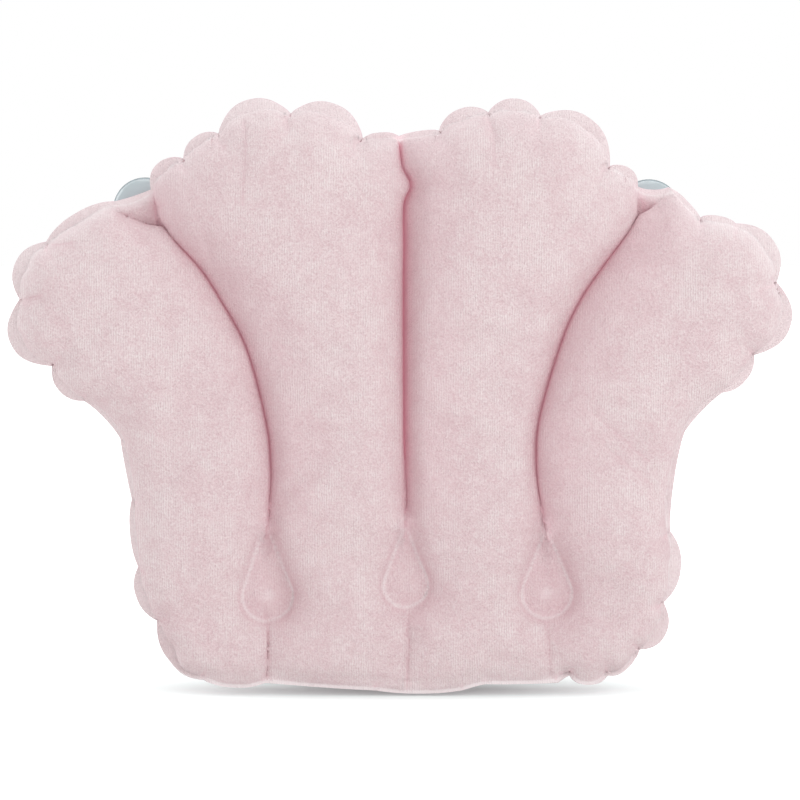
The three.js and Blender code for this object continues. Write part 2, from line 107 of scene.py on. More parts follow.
# Notches of the hem (x, z), anticlockwise from the one over the middle seam, each with how far the hem
# swells out on its way to the next notch
HEM_NOTCHES = (
    (-1.6, 299.7, 2.7),
    (-21.1, 298.6, 12.4),
    (-59.9, 312.1, 13.0),
    (-98.8, 301.3, 5.9),
    (-117.2, 287.8, 7.6),
    (-133.9, 271.6, -0.5),
    (-154.4, 264.6, 5.4),
    (-191.7, 243.0, 10.3),
    (-206.3, 212.2, 14.6),
    (-189.0, 176.0, 5.9),
    (-171.7, 157.1, -1.4),
    (-152.3, 136.6, 0.4),
    (-146.3, 103.7, 2.7),
    (-143.1, 67.0, 6.5),
    (-132.8, 37.8, 8.1),
    (-106.9, 9.0, 3.6),
    (-73.6, 7.2, 0.4),
    (-14.0, 3.0, 1.8),
    (33.0, 3.2, -0.2),
    (45.0, 6.4, 0.5),
    (84.0, 7.4, -0.3),
    (89.8, 11.0, 5.0),
    (110.7, 10.9, 3.6),
    (128.5, 22.7, 8.4),
    (142.0, 47.5, 7.6),
    (145.3, 86.4, -2.2),
    (152.8, 140.4, -1.1),
    (172.8, 161.5, 5.4),
    (190.1, 182.0, 14.0),
    (202.0, 221.4, 11.3),
    (179.8, 252.7, 2.7),
    (160.4, 256.0, 1.1),
    (143.6, 272.2, -1.6),
    (125.8, 272.7, 5.4),
    (111.2, 283.5, 14.6),
    (74.5, 311.0, 8.1),
    (46.4, 312.7, 7.0),
    (20.0, 302.9, 1.1),
)


class Side(Enum):
    """The two panels of the pillow, by the direction along y that their outer faces look in."""

    FRONT = -1
    REAR = 1


@dataclass(frozen=True)
class Seam:
    """A weld seam, from its top down to the middle of its teardrop.

    Attributes:
        route: points that the seam runs through.
        teardrop: radius of the teardrop's round end.
        lean: how far the lobe on the left leans over the one on the right at its crown, or the other
            way round if it is negative.
        run: from the heart of the teardrop up to its point.
        tilt: how much further the panels part on the teardrop's left than on its right, as a share.
    """

    route: tuple[tuple[float, float], ...]
    teardrop: float
    lean: float
    run: float
    tilt: float


SEAMS = (
    Seam(
        (
            (-131.9, 269.8),
            (-127.0, 250.0),
            (-108.8, 228.9),
            (-98.0, 212.2),
            (-84.5, 186.9),
            (-74.5, 150.0),
            (-71.6, 124.9),
            (-73.5, 90.0),
            (-72.2, 53.3),
        ),
        teardrop=13.5,
        lean=16.0,
        run=38.0,
        tilt=0.75,
    ),
    Seam(
        (
            (-1.6, 298.3),
            (-0.7, 284.0),
            (3.9, 274.2),
            (0.7, 264.0),
            (0.8, 240.0),
            (0.5, 211.0),
            (1.1, 114.0),
            (2.2, 59.2),
        ),
        teardrop=12.0,
        lean=8.0,
        run=31.0,
        tilt=0.5,
    ),
    Seam(
        (
            (126.0, 269.8),
            (126.0, 255.0),
            (107.7, 229.4),
            (95.9, 211.6),
            (86.2, 189.6),
            (74.8, 150.0),
            (73.2, 124.9),
            (77.5, 90.0),
            (78.1, 54.9),
        ),
        teardrop=13.5,
        lean=-15.0,
        run=33.0,
        tilt=0.2,
    ),
)


def linear(code: str, alpha: float = 1.0) -> tuple[float, float, float, float]:
    """Turns an sRGB hex colour into Blender's linear one.

    Args:
        code: six hex digits.
        alpha: opacity.

    Returns:
        Linear red, green, blue and alpha.
    """
    shares = [int(code[place : place + 2], 16) / 255 for place in (0, 2, 4)]
    channels = [share / 12.92 if share <= 0.04045 else ((share + 0.055) / 1.055) ** 2.4 for share in shares]
    return (channels[0], channels[1], channels[2], alpha)


def add_node(
    tree: bpy.types.NodeTree,
    kind: str,
    settings: dict[str | int, Any] | None = None,
    links: dict[str | int, bpy.types.NodeSocket] | None = None,
) -> bpy.types.Node:
    """Adds a shader node to a tree with its settings and links.

    Args:
        tree: node tree that gets the node.
        kind: the node's type, without the word that all of them start with.
        settings: values of its inputs, by name or number, and of its own properties.
        links: sockets that feed its inputs.

    Returns:
        The new node.
    """
    node = tree.nodes.new(f"ShaderNode{kind}")
    for key, value in (settings or {}).items():
        if isinstance(key, int) or key in node.inputs:
            node.inputs[key].default_value = value
        else:
            setattr(node, key, value)
    for key, socket in (links or {}).items():
        tree.links.new(socket, node.inputs[key])
    return node


def new_material(name: str) -> tuple[bpy.types.Material, bpy.types.NodeTree]:
    """Makes an empty node material.

    Args:
        name: the material's name.

    Returns:
        The material and its node tree.
    """
    material = bpy.data.materials.new(name)
    material.use_nodes = True
    material.node_tree.nodes.clear()
    return material, material.node_tree


def smooth_step(low: float, high: float, value: np.ndarray) -> np.ndarray:
    """Rises smoothly from 0 at low to 1 at high."""
    share = np.clip((value - low) / (high - low), 0, 1)
    return share * share * (3 - 2 * share)


def bell(distance: np.ndarray, reach: float | np.ndarray) -> np.ndarray:
    """Falls smoothly from 1 at no distance to about a third at its reach."""
    return np.exp(-((distance / reach) ** 2))


def bumps(points: np.ndarray, size: float, layer: float) -> np.ndarray:
    """Uneven heights over the plan, in bumps of about a size, with another pattern on each layer."""
    return np.array([noise.noise((x / size, layer, z / size)) for x, z in points])


def quarter_turn(directions: np.ndarray) -> np.ndarray:
    """Turns directions on the plan anticlockwise by a right angle."""
    return np.column_stack([-directions[:, 1], directions[:, 0]])


def nearest(points: np.ndarray, starts: np.ndarray, ends: np.ndarray) -> tuple[np.ndarray, ...]:
    """Finds the nearest of some segments to each point.

    Args:
        points: n places on the plan.
        starts: where the segments start.
        ends: where they end.

    Returns:
        For each point its distance, the number of the segment and how far along it the nearest place is.
    """
    rows = 2000
    along = ends - starts
    lengths = np.maximum((along**2).sum(axis=1), 1e-12)
    found = []
    for first in range(0, len(points), rows):
        offset = points[first : first + rows, None, :] - starts[None]
        share = np.clip((offset * along).sum(axis=2) / lengths, 0, 1)
        gap = np.linalg.norm(offset - share[..., None] * along, axis=2)
        best = gap.argmin(axis=1)
        line = np.arange(len(best))
        found.append((gap[line, best], best, share[line, best]))
    return tuple(np.concatenate(part) for part in zip(*found))


def nearest_on_loop(points: np.ndarray, loop: np.ndarray) -> tuple[np.ndarray, ...]:
    """Finds the nearest stretch of a closed loop to each point, as nearest does."""
    return nearest(points, loop, np.roll(loop, -1, axis=0))


def inside(points: np.ndarray, loop: np.ndarray) -> np.ndarray:
    """Says which points lie inside a closed loop.

    Args:
        points: n places on the plan.
        loop: the loop's corners.

    Returns:
        True for each point that is inside.
    """
    after = np.roll(loop, -1, axis=0)
    within = np.zeros(len(points), dtype=bool)
    for (from_x, from_z), (to_x, to_z) in zip(loop, after):
        crosses = (from_z > points[:, 1]) != (to_z > points[:, 1])
        rise = to_z - from_z if to_z != from_z else 1e-9
        crossing = from_x + (points[:, 1] - from_z) / rise * (to_x - from_x)
        within ^= crosses & (points[:, 0] < crossing)
    return within


def spline(points: Sequence[tuple[float, float]], spacing: float) -> np.ndarray:
    """Runs a smooth line through points.

    Args:
        points: places that the line runs through.
        spacing: about how far apart its own points are.

    Returns:
        Points at even spacing along the line.
    """
    places = np.array(points)
    padded = np.vstack([2 * places[0] - places[1], places, 2 * places[-1] - places[-2]])
    fine = []
    for before, start, end, after in zip(padded, padded[1:], padded[2:], padded[3:]):
        corners = [start, start + (end - before) / 6, end - (after - start) / 6, end]
        knots = [Vector((x, z, 0)) for x, z in corners]
        fine.extend([knot.x, knot.y] for knot in interpolate_bezier(*knots, 24)[:-1])
    fine.append(places[-1])
    line = np.array(fine)
    runs = np.concatenate([[0], np.cumsum(np.linalg.norm(np.diff(line, axis=0), axis=1))])
    marks = np.linspace(0, runs[-1], max(2, round(runs[-1] / spacing)))
    return np.column_stack([np.interp(marks, runs, line[:, axis]) for axis in (0, 1)])


def wobble(points: np.ndarray) -> np.ndarray:
    """Small sideways drift of the folds at some points, in millimetres."""
    drifts = [noise.noise_vector((x / 9, 7.0, z / 9)) for x, z in points]
    return 0.8 * np.array([(drift.x, drift.z) for drift in drifts])


class PointBed:
    """Points of a plan that keep a least distance from each other."""

    CELL = 4.0

    def __init__(self) -> None:
        """Starts with no points."""
        self.points: list[tuple[float, float]] = []
        self.cells: dict[tuple[int, int], list[tuple[float, float]]] = {}

    def is_clear(self, x: float, z: float, gap: float) -> bool:
        """Says if a place is clear of the points so far.

        Args:
            x: of the place.
            z: of the place.
            gap: least distance to the points.

        Returns:
            True if no point lies nearer.
        """
        column, row = int(x // self.CELL), int(z // self.CELL)
        for near_column in (column - 1, column, column + 1):
            for near_row in (row - 1, row, row + 1):
                for other_x, other_z in self.cells.get((near_column, near_row), ()):
                    if (other_x - x) ** 2 + (other_z - z) ** 2 < gap * gap:
                        return False
        return True

    def add(self, places: Iterable[Sequence[float]], gap: float) -> None:
        """Adds the places that are clear of the points so far.

        Args:
            places: candidates, in order.
            gap: least distance to the other points.
        """
        for x, z in places:
            if self.is_clear(x, z, gap):
                self.points.append((x, z))
                cell = (int(x // self.CELL), int(z // self.CELL))
                self.cells.setdefault(cell, []).append((x, z))


# Flat webs between the tops of the outer and the inner lobes
WEBS = (
    ((-133.5, 271.8), (-156.0, 263.8), (-146.5, 256.5), (-128.5, 250.6), (-128.3, 261.7)),
    ((125.8, 272.7), (143.6, 272.2), (137.0, 265.0), (123.5, 254.5), (124.0, 262.0)),
)


@dataclass(frozen=True)
class Fold:
    """A crease in the face.

    Attributes:
        start: where it is deepest.
        end: where it runs out.
        depth: at its start.
        left: how far its slope reaches on the left, looking along it.
        right: and on the right.
        lap: how far its left laps over its right.
        dark: share of painted shade at its bottom.
    """

    start: tuple[float, float]
    end: tuple[float, float]
    depth: float
    left: float
    right: float
    lap: float = 0.0
    dark: float = 0.0


FOLDS = (
    # Under the three teardrops, where the lobe on the left lies over the next one
    Fold((-73.2, 6.0), (-72.0, 42.0), 2.6, 1.0, 7.5, 0.7, 0.3),
    Fold((-72.0, 41.0), (-73.2, 4.0), 2.6, 7.0, 0.9),
    Fold((3.0, 3.0), (3.6, 46.0), 1.4, 1.3, 4.2, 0.0, 0.34),
    Fold((3.6, 44.0), (3.0, 1.0), 1.3, 3.8, 1.3),
    Fold((0.9, 2.0), (1.4, 46.0), -1.5, 1.1, 0.9),
    Fold((79.4, 11.0), (78.4, 41.0), 1.6, 1.5, 4.4, 0.2, 0.26),
    Fold((76.2, 41.0), (75.4, 18.0), -1.2, 1.5, 1.5),
    Fold((73.0, 23.0), (81.0, 15.0), 0.8, 1.2, 1.2, 0.0, 0.15),
    Fold((84.0, 24.0), (76.0, 16.0), 0.7, 1.2, 1.2, 0.0, 0.15),
    # Over the lobes
    Fold((-83.0, 309.0), (-83.5, 262.0), 1.6, 1.8, 4.0, 0.0, 0.3),
    Fold((-104.0, 246.0), (-102.5, 232.0), 0.8, 1.8, 2.2, 0.0, 0.2),
    Fold((104.0, 152.0), (134.0, 126.0), 1.1, 4.0, 2.4, 0.0, 0.2),
    Fold((110.0, 134.0), (137.0, 112.0), 1.0, 3.4, 2.2, 0.0, 0.2),
    Fold((48.0, 309.0), (50.0, 282.0), 1.3, 1.8, 2.6, 0.0, 0.25),
    Fold((86.0, 14.0), (84.0, 38.0), 0.8, 3.0, 3.0),
    # From the notches of the wings
    Fold((-188.0, 242.3), (-174.0, 244.0), 1.6, 1.0, 2.6, 0.2, 0.5),
    Fold((-204.0, 213.9), (-190.5, 216.2), 1.5, 1.0, 2.4, 0.2, 0.5),
    Fold((206.5, 214.6), (195.5, 225.6), 1.5, 2.4, 1.0, 0.0, 0.45),
    # On the webs
    Fold((-146.6, 256.8), (-141.0, 263.0), 1.4, 1.2, 0.9, 0.5, 0.5),
    Fold((-146.6, 256.8), (-152.0, 260.0), 1.0, 0.9, 0.9, 0.0, 0.2),
    Fold((-129.0, 250.8), (-150.0, 259.5), 1.3, 0.7, 2.4, 0.9, 0.35),
    Fold((-128.4, 250.0), (-128.8, 263.0), 1.0, 1.4, 1.4, 0.0, 0.5),
    Fold((-128.8, 262.0), (-133.2, 271.0), 0.8, 1.4, 1.2, 0.0, 0.4),
    Fold((125.5, 257.0), (138.5, 266.5), 1.3, 1.2, 2.6, 0.0, 0.35),
    Fold((127.0, 252.0), (140.0, 258.0), 1.0, 1.2, 2.2, 0.0, 0.2),
    Fold((124.2, 255.0), (124.8, 268.0), 0.6, 1.0, 1.6, 0.0, 0.45),
)


@dataclass
class SeamReading:
    """Where points lie beside a seam.

    Attributes:
        gap: distance from the seam.
        along: share of the way down it.
        to_right: direction to its right.
        hand: 1 on its right and -1 on its left.
    """

    gap: np.ndarray
    along: np.ndarray
    to_right: np.ndarray
    hand: np.ndarray


@dataclass
class Survey:
    """What the plan says at each of its points.

    Attributes:
        points: places on the plan.
        hem: distance from the foot of the swelling, 0 on the flat hem.
        foot: distance from the foot of the swelling on either side.
        edge: number of the nearest stretch of the cut edge.
        seams: for each seam where the points lie beside it.
        teardrops: for each teardrop the distance from its outline, negative inside.
        hearts: for each teardrop the distance from its heart.
        web: distance from the nearest web.
        swell: rise of the lobes, from 0 on a weld to about 1 at the crown of a full lobe.
    """

    points: np.ndarray
    hem: np.ndarray
    foot: np.ndarray
    edge: np.ndarray
    seams: list[SeamReading]
    teardrops: list[np.ndarray]
    hearts: list[np.ndarray]
    web: np.ndarray
    swell: np.ndarray


@dataclass
class PillowPlan:
    """The pillow's outline, welds and puckers from the front, and how far the lobes swell.

    Attributes:
        webs: corners of the flat webs between the lobes' tops.
        hole: middle and radius of the hole for the valve.
        lobe_width: width of a lobe that swells by the full rise.
        fullness: power of the swelling, where 1 gives half an ellipse and less a fuller form.
        hem_least: width of the flat hem at a notch.
        hem_most: width of the hem at the middle of a scallop.
        hem_low: width of the hem along the bottom.
        floor: lowest that the hem comes.
        roundness: power of the scallops' curve, where 2 is a parabola.
        seam_width: width of the weld seams.
        teardrop_lift: how far the panels part at a teardrop.
        crease_lift: and at the crease under it.
        low_band: heights between which the hem turns into the flat lower one.
        notch_clear: how near to a seam or a web a notch has no pucker.
        hem_pitch: spacing of the points along the hem.
        seam_pitch: and along the seams.
        lobe_pitch: and over the lobes.
    """

    webs: Sequence[Sequence[tuple[float, float]]]
    hole: tuple[np.ndarray, float]
    lobe_width: float = 73.0
    fullness: float = 0.74
    hem_least: float = 1.9
    hem_most: float = 7.2
    hem_low: float = 1.5
    floor: float = 0.8
    roundness: float = 2.4
    seam_width: float = 2.0
    teardrop_lift: float = 2.0
    crease_lift: float = 5.0
    low_band: tuple[float, float] = (24.0, 10.0)
    notch_clear: float = 4.0
    hem_pitch: float = 2.0
    seam_pitch: float = 2.3
    lobe_pitch: float = 2.7

    def __post_init__(self) -> None:
        """Works out the lines of the plan."""
        self._draw_hem()
        self._draw_puckers()
        self.seams = [spline(seam.route, self.seam_pitch) for seam in SEAMS]
        self.hearts = [line[-1] for line in self.seams]
        self.tips = [self._tip(line, seam.run) for seam, line in zip(SEAMS, self.seams)]

    def _draw_hem(self) -> None:
        """Draws the cut edge and the foot of the swelling inside it."""
        edge, shares, bows, scallops = [], [], [], []
        following = HEM_NOTCHES[1:] + HEM_NOTCHES[:1]
        for number, ((x, z, bow), (next_x, next_z, _)) in enumerate(zip(HEM_NOTCHES, following)):
            start, end = np.array((x, z)), np.array((next_x, next_z))
            chord = end - start
            length = np.linalg.norm(chord)
            outward = np.array((chord[1], -chord[0])) / length
            steps = max(6, round((length + abs(bow)) / self.hem_pitch))
            for share in np.arange(steps) / steps:
                swell = bow * (1 - abs(2 * share - 1) ** self.roundness)
                edge.append(start + chord * share + outward * swell)
                shares.append(share)
                bows.append(bow)
                scallops.append(number)
        self.edge = np.array(edge)
        self.edge[:, 1] = np.maximum(self.edge[:, 1], self.floor)
        self.edge_shares = np.array(shares)
        self.edge_scallops = np.array(scallops)
        tangent = np.roll(self.edge, -1, axis=0) - np.roll(self.edge, 1, axis=0)
        tangent /= np.maximum(np.linalg.norm(tangent, axis=1), 1e-9)[:, None]
        self.inward = quarter_turn(tangent)
        fullness = np.clip(np.array(bows) / 8, 0.25, 1)
        spread = (self.hem_most - self.hem_least) * np.sin(np.pi * self.edge_shares) * fullness
        low = smooth_step(*self.low_band, self.edge[:, 1])
        self.hem_widths = (self.hem_least + spread) * (1 - low) + self.hem_low * low
        self.foot = self.edge + self.inward * self.hem_widths[:, None]

    def _draw_puckers(self) -> None:
        """Draws the short folds that run inwards from the notches, longer between fuller scallops."""
        self.puckers: list[Fold] = []
        seam_tops = [seam.route[0] for seam in SEAMS]
        for number, (x, z, bow) in enumerate(HEM_NOTCHES):
            place = np.array([[x, z]])
            gaps = [math.dist((x, z), top) for top in seam_tops]
            gaps += [float(self._web_gap(place, web)[0]) for web in self.webs]
            if min(gaps) < self.notch_clear:
                continue
            run = 5 + 0.34 * max(0.0, bow + HEM_NOTCHES[number - 1][2])
            index = int(np.argmax(self.edge_scallops == number))
            start = self.edge[index]
            end = start + self.inward[index] * run
            depth = 0.15 * float(np.linalg.norm(end - start))
            self.puckers.append(Fold(tuple(start), tuple(end), depth, 1.4, 2.2))

    def _tip(self, line: np.ndarray, run: float) -> np.ndarray:
        """Finds the point of a teardrop, on its seam above its heart."""
        runs = np.linalg.norm(line - line[-1], axis=1)
        return line[int(np.argmin(abs(runs - run)))]

    def _teardrop_axis(self, number: int) -> tuple[float, np.ndarray, np.ndarray]:
        """Reads how a teardrop lies.

        Args:
            number: which seam's teardrop.

        Returns:
            The length from its heart to its tip, the direction there and the one to the left of it.
        """
        run = self.tips[number] - self.hearts[number]
        length = float(np.linalg.norm(run))
        axis = run / length
        return length, axis, np.array((-axis[1], axis[0]))

    def teardrop_distance(self, points: np.ndarray, number: int) -> np.ndarray:
        """Distance from a teardrop's outline, negative inside it.

        Args:
            points: places on the plan.
            number: which seam's teardrop.

        Returns:
            Signed distances.
        """
        length, axis, across = self._teardrop_axis(number)
        large, small = SEAMS[number].teardrop, self.seam_width / 2
        offset = points - self.hearts[number]
        up = offset @ axis
        out = abs(offset @ across)
        sine = (large - small) / length
        cosine = math.sqrt(1 - sine * sine)
        along = up * cosine - out * sine
        round_end = np.hypot(out, up) - large
        sharp_end = np.hypot(out, up - length) - small
        flank = out * cosine + up * sine - large
        return np.where(along < 0, round_end, np.where(along > length * cosine, sharp_end, flank))

    def _seam_reading(self, points: np.ndarray, number: int) -> SeamReading:
        """Reads where points lie beside a seam, which runs down.

        Args:
            points: places on the plan.
            number: which seam.

        Returns:
            The reading.
        """
        line = self.seams[number]
        gap, stretch, share = nearest(points, line[:-1], line[1:])
        along = np.diff(line, axis=0)[stretch]
        offset = points - line[stretch] - along * share[:, None]
        to_right = quarter_turn(along / np.linalg.norm(along, axis=1)[:, None])
        hand = np.where((offset * to_right).sum(axis=1) < 0, -1, 1)
        return SeamReading(gap, (stretch + share) / (len(line) - 1), to_right, hand)

    def _pinch(self, points: np.ndarray) -> np.ndarray:
        """How closely the puckers at the notches hold the panel down.

        Args:
            points: places on the plan.

        Returns:
            The hold, as one over a distance.
        """
        reach = 10.0
        total = np.zeros(len(points))
        for pucker in self.puckers:
            gap, _, share = nearest(points, np.array([pucker.start]), np.array([pucker.end]))
            clearance = gap + 4 + 14 * share
            total += np.maximum(0, 1 / clearance - 1 / reach)
        return total

    def _web_gap(self, points: np.ndarray, web: Sequence[tuple[float, float]]) -> np.ndarray:
        """Distance from a flat web, 0 on it."""
        corners = np.array(web)
        return np.where(inside(points, corners), 0, nearest_on_loop(points, corners)[0])

    def survey(self, points: np.ndarray) -> Survey:
        """Reads the plan at some points.

        Across a strip between two welds the swelling is half of a full ellipse: each weld holds the
        panel down by one over its distance, and the sum of these is what the swelling works against.

        Args:
            points: places on the plan.

        Returns:
            The reading.
        """
        tiny = 1e-4
        foot, _, _ = nearest_on_loop(points, self.foot)
        hem = np.where(inside(points, self.foot), foot, 0)
        _, edge, _ = nearest_on_loop(points, self.edge)
        seams = [self._seam_reading(points, number) for number in range(len(SEAMS))]
        teardrops = [self.teardrop_distance(points, number) for number in range(len(SEAMS))]
        hearts = [np.linalg.norm(points - heart, axis=1) for heart in self.hearts]
        hold = 1 / np.maximum(hem, tiny) + self._pinch(points)
        for number, (seam, reading, teardrop) in enumerate(zip(SEAMS, seams, teardrops)):
            heart = self.hearts[number]
            _, _, to_left = self._teardrop_axis(number)
            across = -((points - heart) @ to_left)
            level = self.teardrop_lift * (1 - seam.tilt * np.tanh(across / 9))
            lift = level * smooth_step(80, 1.6 * seam.teardrop, hearts[number])
            clearance = np.maximum(0, np.minimum(reading.gap - self.seam_width / 2, teardrop)) + lift
            hold += 1 / np.maximum(clearance, tiny)
            crease, _, _ = nearest(points, heart[None], np.array((heart[0], self.floor))[None])
            hold += 1 / (crease + self.crease_lift)
        webs = [self._web_gap(points, web) for web in self.webs]
        for gap in webs:
            hold += 1 / np.maximum(gap, tiny)
        swell = np.where(hem > 0, np.sqrt(4 / (hold * self.lobe_width)), 0) ** self.fullness
        swell *= 0.5 + 0.5 * smooth_step(-4, 40, points[:, 1])
        return Survey(points, hem, foot, edge, seams, teardrops, hearts, np.min(webs, axis=0), swell)

    def _rows_beside(self, line: np.ndarray, offset: float) -> Iterable[np.ndarray]:
        """Lays rows of points on both sides of a line.

        Args:
            line: points along it.
            offset: from the line to each row.

        Yields:
            The row on its left and the one on its right.
        """
        tangent = np.gradient(line, axis=0)
        tangent /= np.linalg.norm(tangent, axis=1)[:, None]
        across = quarter_turn(tangent)
        yield line + across * offset
        yield line - across * offset

    def _crease_lines(self) -> Iterable[np.ndarray]:
        """Points along each of the folds and the puckers."""
        for fold in (*FOLDS, *self.puckers):
            start, end = np.array(fold.start), np.array(fold.end)
            steps = max(3, round(math.dist(start, end) / 1.3))
            line = start + (end - start) * np.linspace(0, 1, steps)[:, None]
            yield line + wobble(line)

    def _teardrop_row(self, number: int, offset: float) -> np.ndarray:
        """Lays a row of points round a teardrop.

        Args:
            number: which seam's teardrop.
            offset: from its outline to the row.

        Returns:
            Points round its heart, and then up both flanks to its tip.
        """
        heart = self.hearts[number]
        radius = SEAMS[number].teardrop + offset
        length, axis, across = self._teardrop_axis(number)
        reach = length + self.seam_width / 2 + offset
        touch = math.acos(min(1.0, radius / reach))
        turns = np.linspace(touch, 2 * math.pi - touch, max(12, round(radius * 2.6)))
        ring = heart + radius * (np.outer(np.cos(turns), axis) + np.outer(np.sin(turns), across))
        top = heart + axis * reach
        steps = np.arange(0.06, 1, 0.08)[:, None]
        return np.vstack([ring, ring[0] + (top - ring[0]) * steps, ring[-1] + (top - ring[-1]) * steps])

    def _lay_hem(self, bed: PointBed) -> None:
        """Lays the cut edge, the hole for the valve and the flat hem."""
        bed.add(self.edge, 0.0)
        middle, radius = self.hole
        turns = np.linspace(0, 2 * np.pi, 33)[:-1]
        ring = np.column_stack([np.cos(turns), np.sin(turns)])
        for size in HOLE_ROWS:
            bed.add(middle + radius * size * ring, 0.5)
        bed.add(self.foot, 0.5)
        for offset in HEM_ROWS:
            narrow = self.hem_widths < offset + 0.7
            bed.add((self.foot - self.inward * offset)[~narrow], 0.5)
        bed.add((self.edge + self.foot) / 2, 0.7)

    def _lay_seams(self, bed: PointBed) -> list[tuple[int, int]]:
        """Lays the seams and their teardrops.

        Args:
            bed: gets the points.

        Returns:
            Pairs of points that have to be joined, along the seams.
        """
        joins = []
        for number, line in enumerate(self.seams):
            start = len(bed.points)
            clear = (self.teardrop_distance(line, number) > 0.4) & inside(line, self.foot)
            bed.add(line[clear], 0.4)
            joins.extend((place, place + 1) for place in range(start, len(bed.points) - 1))
            for offset in TEARDROP_ROWS:
                bed.add(self._teardrop_row(number, offset), 0.45)
        return joins

    def _lay_folds(self, bed: PointBed) -> None:
        """Lays the folds, the puckers and the outlines of the webs."""
        for offset in FOLD_ROWS:
            for line in self._crease_lines():
                for row in self._rows_beside(line, offset):
                    bed.add(row[inside(row, self.foot)], 0.5)
        for web in self.webs:
            corners = np.array(web)
            for start, end in zip(corners, np.roll(corners, -1, axis=0)):
                bed.add(start + (end - start) * np.linspace(0, 1, 14)[:, None], 0.9)

    def _lay_lobes(self, bed: PointBed) -> None:
        """Lays rows beside the seams and the hem, wider apart as they go, and then fills the lobes."""
        for count in range(1, 9):
            for number, line in enumerate(self.seams):
                for row in self._rows_beside(line, self.seam_width / 2 + 0.115 * count * count):
                    beyond = self.teardrop_distance(row, number) > TEARDROP_ROWS[-1]
                    bed.add(row[beyond & inside(row, self.foot)], 0.28 * count)
            inner = self.foot + self.inward * (0.2 * count * count)
            gap, _, _ = nearest_on_loop(inner, self.foot)
            clear = (gap > 0.17 * count * count) & inside(inner, self.foot)
            bed.add(inner[clear], min(1.5, 0.28 * count))
        low, high = self.edge.min(axis=0), self.edge.max(axis=0)
        for row, z in enumerate(np.arange(low[1], high[1], self.lobe_pitch * math.sqrt(0.75))):
            columns = np.arange(low[0] + (row % 2) * self.lobe_pitch / 2, high[0], self.lobe_pitch)
            places = np.column_stack([columns, np.full(len(columns), z)])
            bed.add(places[inside(places, self.foot)], self.lobe_pitch * 0.62)

    def lay(self) -> tuple[np.ndarray, list[list[int]]]:
        """Lays points over the plan, close together at the welds, and joins them in triangles.

        Returns:
            The points and the triangles' corners.
        """
        bed = PointBed()
        self._lay_hem(bed)
        joins = self._lay_seams(bed)
        self._lay_folds(bed)
        self._lay_lobes(bed)
        rim = list(range(len(self.edge)))
        knots = [Vector(point) for point in bed.points]
        places, _, faces, *_ = delaunay_2d_cdt(knots, joins, [rim], 1, 1e-5)
        return np.array([tuple(place) for place in places]), faces


